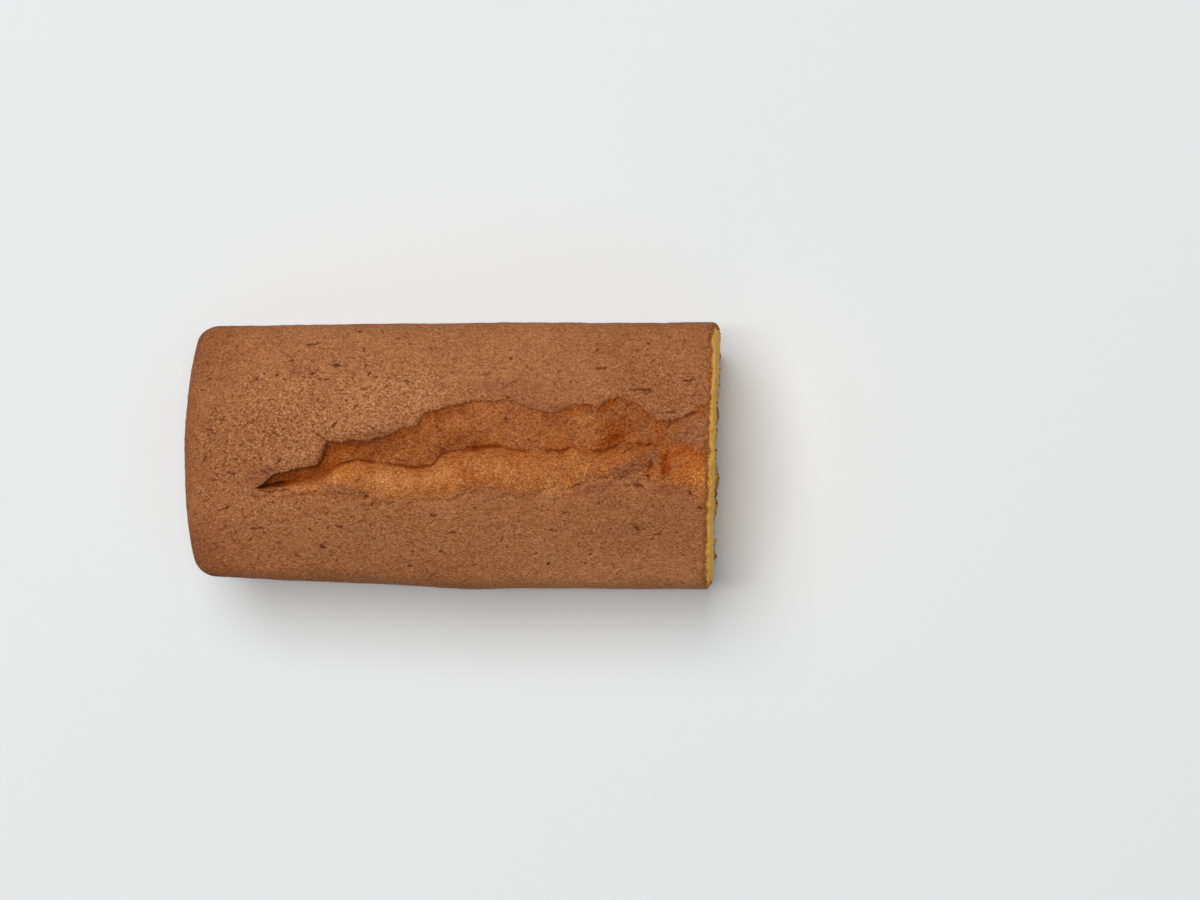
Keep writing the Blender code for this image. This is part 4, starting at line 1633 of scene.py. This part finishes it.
@dataclass
class Sheet:
    """A plain sheet of crust with pores: the closed end or the base."""

    crown: Crown
    spine: Spine  # the two ends of its hidden line

    def build(self, name: str, skin: Array, finish: BakedFinish) -> None:
        """Gives the sheet its pores and its unevenness, and builds it.

        Args:
            name: the piece's name.
            skin: the sheet's smooth grid.
            finish: the browned crust.
        """
        pits, dark = wall_pores(skin, self.crown.noise)
        outer = self.crown.settle(skin, self.crown.relief(skin) - pits)
        fields = self.crown.crust_fields(skin) | {"crack": dark}
        Skin(name, outer, self.spine, fields).build(finish.material(), Slot.CRUST)


@dataclass
class ClosedEnd(Sheet):
    """The end that lay against the tin: it shares its top edge and corners with the crusts."""

    spine: Spine = ((-0.0735, -0.025, 0.024), (-0.0735, 0.025, 0.024))

    def across(self) -> Array:
        """Where the crusts' rows meet this end.

        Returns:
            Shares of the half width, from the near corner to the far one.
        """
        form, crown = self.crown.form, self.crown
        x = np.array([form.closed_end])
        lip = crown.lines.upper(x)[0]
        near = mix(lip, -form.half_width(x, -1 + 0 * x)[0], np.linspace(0, 1, crown.near_rows))
        far = mix(lip, form.half_width(x, 1 + 0 * x)[0], np.linspace(0, 1, crown.far_rows))
        y = np.concatenate([near[::-1], far[1:]])
        return y / form.half_width(x[0] + 0 * y, y)

    def dress(self, finish: BakedFinish) -> None:
        """Builds the end as a grid over its height and width.

        Args:
            finish: the browned crust.
        """
        form = self.crown.form
        heights = form.wall_height * np.linspace(1, 0, self.crown.end_rows)[:, None]
        skin = form.place(0.0, self.across(), heights, 0.0)
        self.build("wall_end", skin, finish)


@dataclass
class Base(Sheet):
    """The base crust: flat along its two sides, and a little arched between them."""

    rows: int = 56
    spine: Spine = ((-0.0735, 0.0, 0.012), (0.070, 0.0, 0.012))

    def dress(self, finish: BakedFinish) -> None:
        """Builds the base as a grid over its length and width.

        Args:
            finish: the browned crust.
        """
        form = self.crown.form
        x_inset = np.linspace(0, form.length, self.crown.columns)
        skin = form.place(x_inset, np.linspace(-1, 1, self.rows)[:, None], 0.0, 0.0)
        self.build("base_crust", skin, finish)


# --- The cut ---


@dataclass
class CutFace:
    """The sliced end: crumb inside a crust that is cut through all round."""

    crown: Crown
    columns: int = 330
    rows: int = 216
    crowding: float = 0.9  # how much of a quarter turn spaces the columns
    top_weight: float = 1.1
    base_weight: float = 0.78
    side_weight: float = 0.84
    softness: float = 1.2 * MM
    holes: int = 34
    hole_side: float = 0.043
    hole_heights: Pair = (0.006, 0.058)
    hole_radii: Pair = (0.45, 1.1)
    hole_power: float = 1.3
    spine: Spine = ((0.078, -0.022, 0.024), (0.078, 0.022, 0.024))
    seed: int = 8
    noise: Noise = Noise(71)

    def across(self) -> Array:
        """The columns' places, as shares of the half width: a sine crowds them at the sides."""
        turn = math.pi / 2 * self.crowding
        return np.sin(np.linspace(-1, 1, self.columns) * turn) / math.sin(turn)

    def half(self) -> Array:
        """Half the loaf's width at the cut, for each column's side."""
        return self.crown.form.half_width(self.crown.form.cut_place, self.across())

    def face(self) -> Array:
        """The cut's smooth face, its rows spaced by a cosine from the base to the top.

        Returns:
            The face's grid of points.
        """
        form, lines = self.crown.form, self.crown.lines
        heights = form.wall_height * (1 - np.cos(np.linspace(0, 1, self.rows) * math.pi)) / 2
        y = self.across() * self.half()
        x = form.cut_place + 0 * y
        open_here = (y > lines.lower(x)) & (y < lines.upper(x))
        depth = np.where(open_here, lines.depth(x, y), 0.0)
        return form.place(form.length, self.across(), heights[:, None], depth)

    def borders(self, face: Array) -> tuple[Array, Array, Array]:
        """How far each point lies inside the face's top, base and sides.

        Args:
            face: the face's grid of points.

        Returns:
            The three distances, each weighted so that the crust shows thicker or thinner there.
        """
        form, z = self.crown.form, face[..., 2]
        lean = mix(form.base_half / form.shoulder_half, 1, np.clip(z / form.wall_height, 0, 1))
        sides = (1 - np.abs(face[..., 1]) / (self.half() * lean)) * self.half() * self.side_weight
        return (face[-1, :, 2] - z) * self.top_weight, (z - face[0, :, 2]) * self.base_weight, sides

    def pores(self, face: Array) -> tuple[Array, Array]:
        """Pores of two sizes: the middles of some cells, a little taller than wide.

        Args:
            face: the face's grid of points.

        Returns:
            How deep the large and the small pores are, 0 to 1.
        """
        tall = face * np.array([1, 1, 0.8])
        near, value = self.noise.cells(tall, 1.7 * MM)
        large = smooth(0.5, 0.12, near) * smooth(0.45, 0.95, value)
        near, value = self.noise.cells(tall, 0.85 * MM)
        return large, smooth(0.5, 0.2, near) * smooth(0.3, 0.9, value)

    def hollows(self, face: Array) -> Array:
        """Scattered oval holes, each eased off at an outline that noise bends.

        Args:
            face: the face's grid of points.

        Returns:
            How deep the holes are, 0 to 1.
        """
        rng = np.random.default_rng(self.seed)
        deep = np.zeros(face.shape[:2])
        y = face[..., 1] + MM * self.noise.layers(face, (0.5, 1.5), (0.3, 0.7))
        z = face[..., 2] + MM * self.noise.layers(face + 0.1, (0.5, 1.5))
        for _ in range(self.holes):
            middle_y = rng.uniform(-self.hole_side, self.hole_side)
            middle_z = rng.uniform(*self.hole_heights)
            radius = rng.uniform(*self.hole_radii) ** self.hole_power * MM
            long, flat = (1.7, 1.0) if rng.random() < 0.5 else (1.0, 1.6)
            away = np.hypot((y - middle_y) / long, (z - middle_z) / flat)
            deep = np.maximum(deep, smooth(1.15, 0.45, away / radius))
        return deep

    def dress(self, finish: CrumbFinish) -> None:
        """Builds the cut as a grid between its top and base lines, with pores and holes pressed in.

        The distance from the border is the least of the three, softened: minus the logarithm of
        their falling exponentials' sum. The crumb is torn by slow and fine noise, and a torn ledge
        stands out along the base.

        Args:
            finish: the crumb.
        """
        noise, face = self.noise, self.face()
        push = self.crown.relief(face)
        borders = self.borders(face)
        nearness = sum(np.exp(-distance / self.softness) for distance in borders)
        rim = np.maximum(-self.softness * np.log(nearness), 0) / MM
        face = face + self.crown.form.outward(face) * (push * smooth(1.2, 0.0, rim))[..., None]
        face[..., 2] = np.maximum(face[..., 2], 0.0)

        pores, small = self.pores(face)
        holes = self.hollows(face)
        tear = 0.22 * noise.fractal(face, 6 * MM, 3) + 0.18 * noise.value(face, 0.8 * MM)
        tear = (tear - 0.42 * pores - 0.2 * small - 0.7 * holes) * smooth(0.0, 1.0, rim)
        torn = noise.fractal(face * np.array([1, 1, 0.35]), 6 * MM, 5)
        ledge = smooth(4.6, 1.2, borders[1] / MM) * smooth(0.0, 1.4, borders[2] / MM)
        ledge = ledge * smooth(-0.6, 1.3, torn)
        crumbly = smooth(2.5, 0.5, rim) * noise.fractal(face, 1.6 * MM, 2)
        face[..., 0] += (tear + 2.2 * ledge + 0.3 * crumbly) * MM
        fields = {"rim": rim, "pore": np.clip(0.6 * pores + 0.3 * small + 0.8 * holes, 0, 1)}
        Skin("cut_face", face, self.spine, fields).build(finish.material(), Slot.CRUMB)


@dataclass
class LooseCrumbs:
    """Crumbs at the foot of the cut: rounded lumps on small grids, each pushed about by noise."""

    form: LoafForm
    count: int = 34
    around: int = 7
    tall: int = 5
    sizes: Pair = (0.3, 0.75)
    squashes: Pair = (0.6, 1.2)
    spread: float = 0.037
    table_gap: float = 0.00002
    browning: tuple[float, ...] = (0.8, 2.2, 3.5, 7.0)  # the rim distances they are coloured as
    seed: int = 19
    noise: Noise = Noise(3)

    def ball(self) -> tuple[Array, list[tuple[int, ...]]]:
        """A small ball: rings of points by sine and cosine, closed at both poles.

        Returns:
            Its points and its faces.
        """
        theta = np.linspace(0, 2 * math.pi, self.around, endpoint=False)
        phi = np.linspace(0, math.pi, self.tall)[1:-1, None]
        ring = (np.sin(phi) * np.cos(theta), np.sin(phi) * np.sin(theta), np.cos(phi))
        rings = np.stack(np.broadcast_arrays(*ring), -1).reshape(-1, 3)
        points = np.concatenate([[[0, 0, 1]], rings, [[0, 0, -1]]])
        last = len(points) - 1 - self.around
        faces: list[tuple[int, ...]] = []
        for i in range(self.around):
            j = (i + 1) % self.around
            faces.append((0, 1 + i, 1 + j))
            for a in range(1, last, self.around):
                b = a + self.around
                faces.append((a + i, b + i, b + j, a + j))
            faces.append((last + i, len(points) - 1, last + j))
        return points, faces

    def dress(self, finish: CrumbFinish) -> None:
        """Builds every crumb as a ball of a few dozen faces, and joins them as one piece.

        Args:
            finish: the crumb.
        """
        rng = np.random.default_rng(self.seed)
        ball, ball_faces = self.ball()
        points, faces, rims = [], [], []
        for number in range(self.count):
            size = rng.uniform(*self.sizes) * MM
            y = rng.uniform(-self.spread, self.spread)
            across = np.array([y / self.form.base_half])
            foot = self.form.place(self.form.length, across, 0.0, 0.0)[0]
            out = (rng.exponential(0.22) - 0.1) * MM
            squash = rng.uniform(*self.squashes, 3)
            lump = ball * size * squash
            lump = lump * (1 + 0.35 * self.noise.value(lump + number, 0.5 * MM))[:, None]
            lump = lump + np.array([foot[0] + out + 0.4 * size, y, size * squash[2] * 0.9])
            lump[:, 2] = np.maximum(lump[:, 2], self.table_gap)
            faces += [tuple(v + number * len(ball) for v in face) for face in ball_faces]
            points.append(lump)
            rims.append(np.full(len(ball), rng.choice(self.browning)))
        mesh = bpy.data.meshes.new("loose_crumbs")
        mesh.from_pydata(np.concatenate(points).tolist(), [], faces)
        rim = np.concatenate(rims)
        add_field(mesh, "rim", rim)
        add_field(mesh, "pore", 0 * rim)
        mesh.shade_smooth()
        join_frame(mesh, finish.material())


# --- The studio ---


@dataclass(frozen=True)
class Lamp:
    """A soft rectangular light that faces the origin."""

    name: str
    place: Triple
    size: Pair
    power: float
    colour: Triple = (1.0, 0.99, 0.975)


@dataclass(frozen=True)
class Studio:
    """A pale floor, a large soft light overhead and a camera that looks straight down."""

    camera_place: Triple = (0.0544, 0.0019, 1.2)
    lens: float = 92.17
    sensor: float = 36.0
    floor_size: float = 12.0
    floor_colour: Colour = tone(227, 230, 232)
    floor_mottle: Colour = tone(214, 216, 217)
    far_clip: float = 50.0
    lamps: tuple[Lamp, ...] = (
        Lamp("overhead", (-0.80, 0.03, 5.0), (4.0, 0.60), 98.0),
        Lamp("window", (-1.40, 2.10, 5.0), (3.8, 3.8), 222.0),
    )
    sky: Colour = (1.0, 0.99, 0.97, 1.0)
    sky_strength: float = 0.14

    def floor(self) -> None:
        """A flat floor with a slight mottle of tone."""
        half = self.floor_size / 2
        corners = [(-half, -half, 0), (half, -half, 0), (half, half, 0), (-half, half, 0)]
        mesh = bpy.data.meshes.new("floor")
        mesh.from_pydata(corners, [], [(0, 1, 2, 3)])
        bench = NodeBench("pale_board")
        tint = bench.spread(bench.noise(0.25, 2.0), 0.3, 0.7, (0.0, 0.03))
        colour = bench.blend(tint, self.floor_colour, self.floor_mottle)
        flat = bench.bump(bench.noise(0.004, 1.0), 0.00001, 0.2)
        rough = bench.spread(tint, 0, 1, (0.75, 0.8))
        mesh.materials.append(bench.finish(colour, rough, flat, 0.2))
        floor = bpy.data.objects.new("floor", mesh)
        bpy.context.scene.collection.objects.link(floor)

    def light(self) -> None:
        """The soft lamps, aimed at the loaf, and the sky that fills their shadows."""
        for soft in self.lamps:
            lamp = bpy.data.lights.new(soft.name, "AREA")
            lamp.shape = "RECTANGLE"
            lamp.size, lamp.size_y = soft.size
            lamp.energy, lamp.color = soft.power, soft.colour
            key = bpy.data.objects.new(soft.name, lamp)
            key.location = soft.place
            x, y, z = soft.place
            key.rotation_euler = (-math.atan2(y, math.hypot(x, z)), math.atan2(x, z), 0.0)
            key.visible_camera = False
            bpy.context.scene.collection.objects.link(key)
        world = bpy.data.worlds.new("sky")
        world.use_nodes = True
        background = world.node_tree.nodes["Background"]
        background.inputs["Color"].default_value = self.sky
        background.inputs["Strength"].default_value = self.sky_strength
        bpy.context.scene.world = world

    def camera(self) -> None:
        """The camera over the middle of its view, with +Y up in the picture."""
        data = bpy.data.cameras.new("camera")
        data.lens, data.sensor_width = self.lens, self.sensor
        data.clip_end = self.far_clip
        camera = bpy.data.objects.new("camera", data)
        camera.location = self.camera_place
        bpy.context.scene.collection.objects.link(camera)
        bpy.context.scene.camera = camera

    def set_up(self) -> None:
        """Puts the floor, the lights and the camera in the scene."""
        self.floor()
        self.light()
        self.camera()
        bpy.context.scene.view_settings.view_transform = "Standard"


def main() -> None:
    """Dresses the loaf and sets up the studio."""
    logging.basicConfig(level=logging.INFO, format="%(name)s %(message)s")
    crown = Crown(LoafForm(), BurstLines(), CrownMarks(), Patches())
    finish = BakedFinish()
    crown.dress(finish)
    ClosedEnd(crown).dress(finish)
    Base(crown).dress(finish)
    CutFace(crown).dress(CrumbFinish())
    LooseCrumbs(crown.form).dress(CrumbFinish(name="loose_crumb"))
    Studio().set_up()


if __name__ == "__main__":
    main()
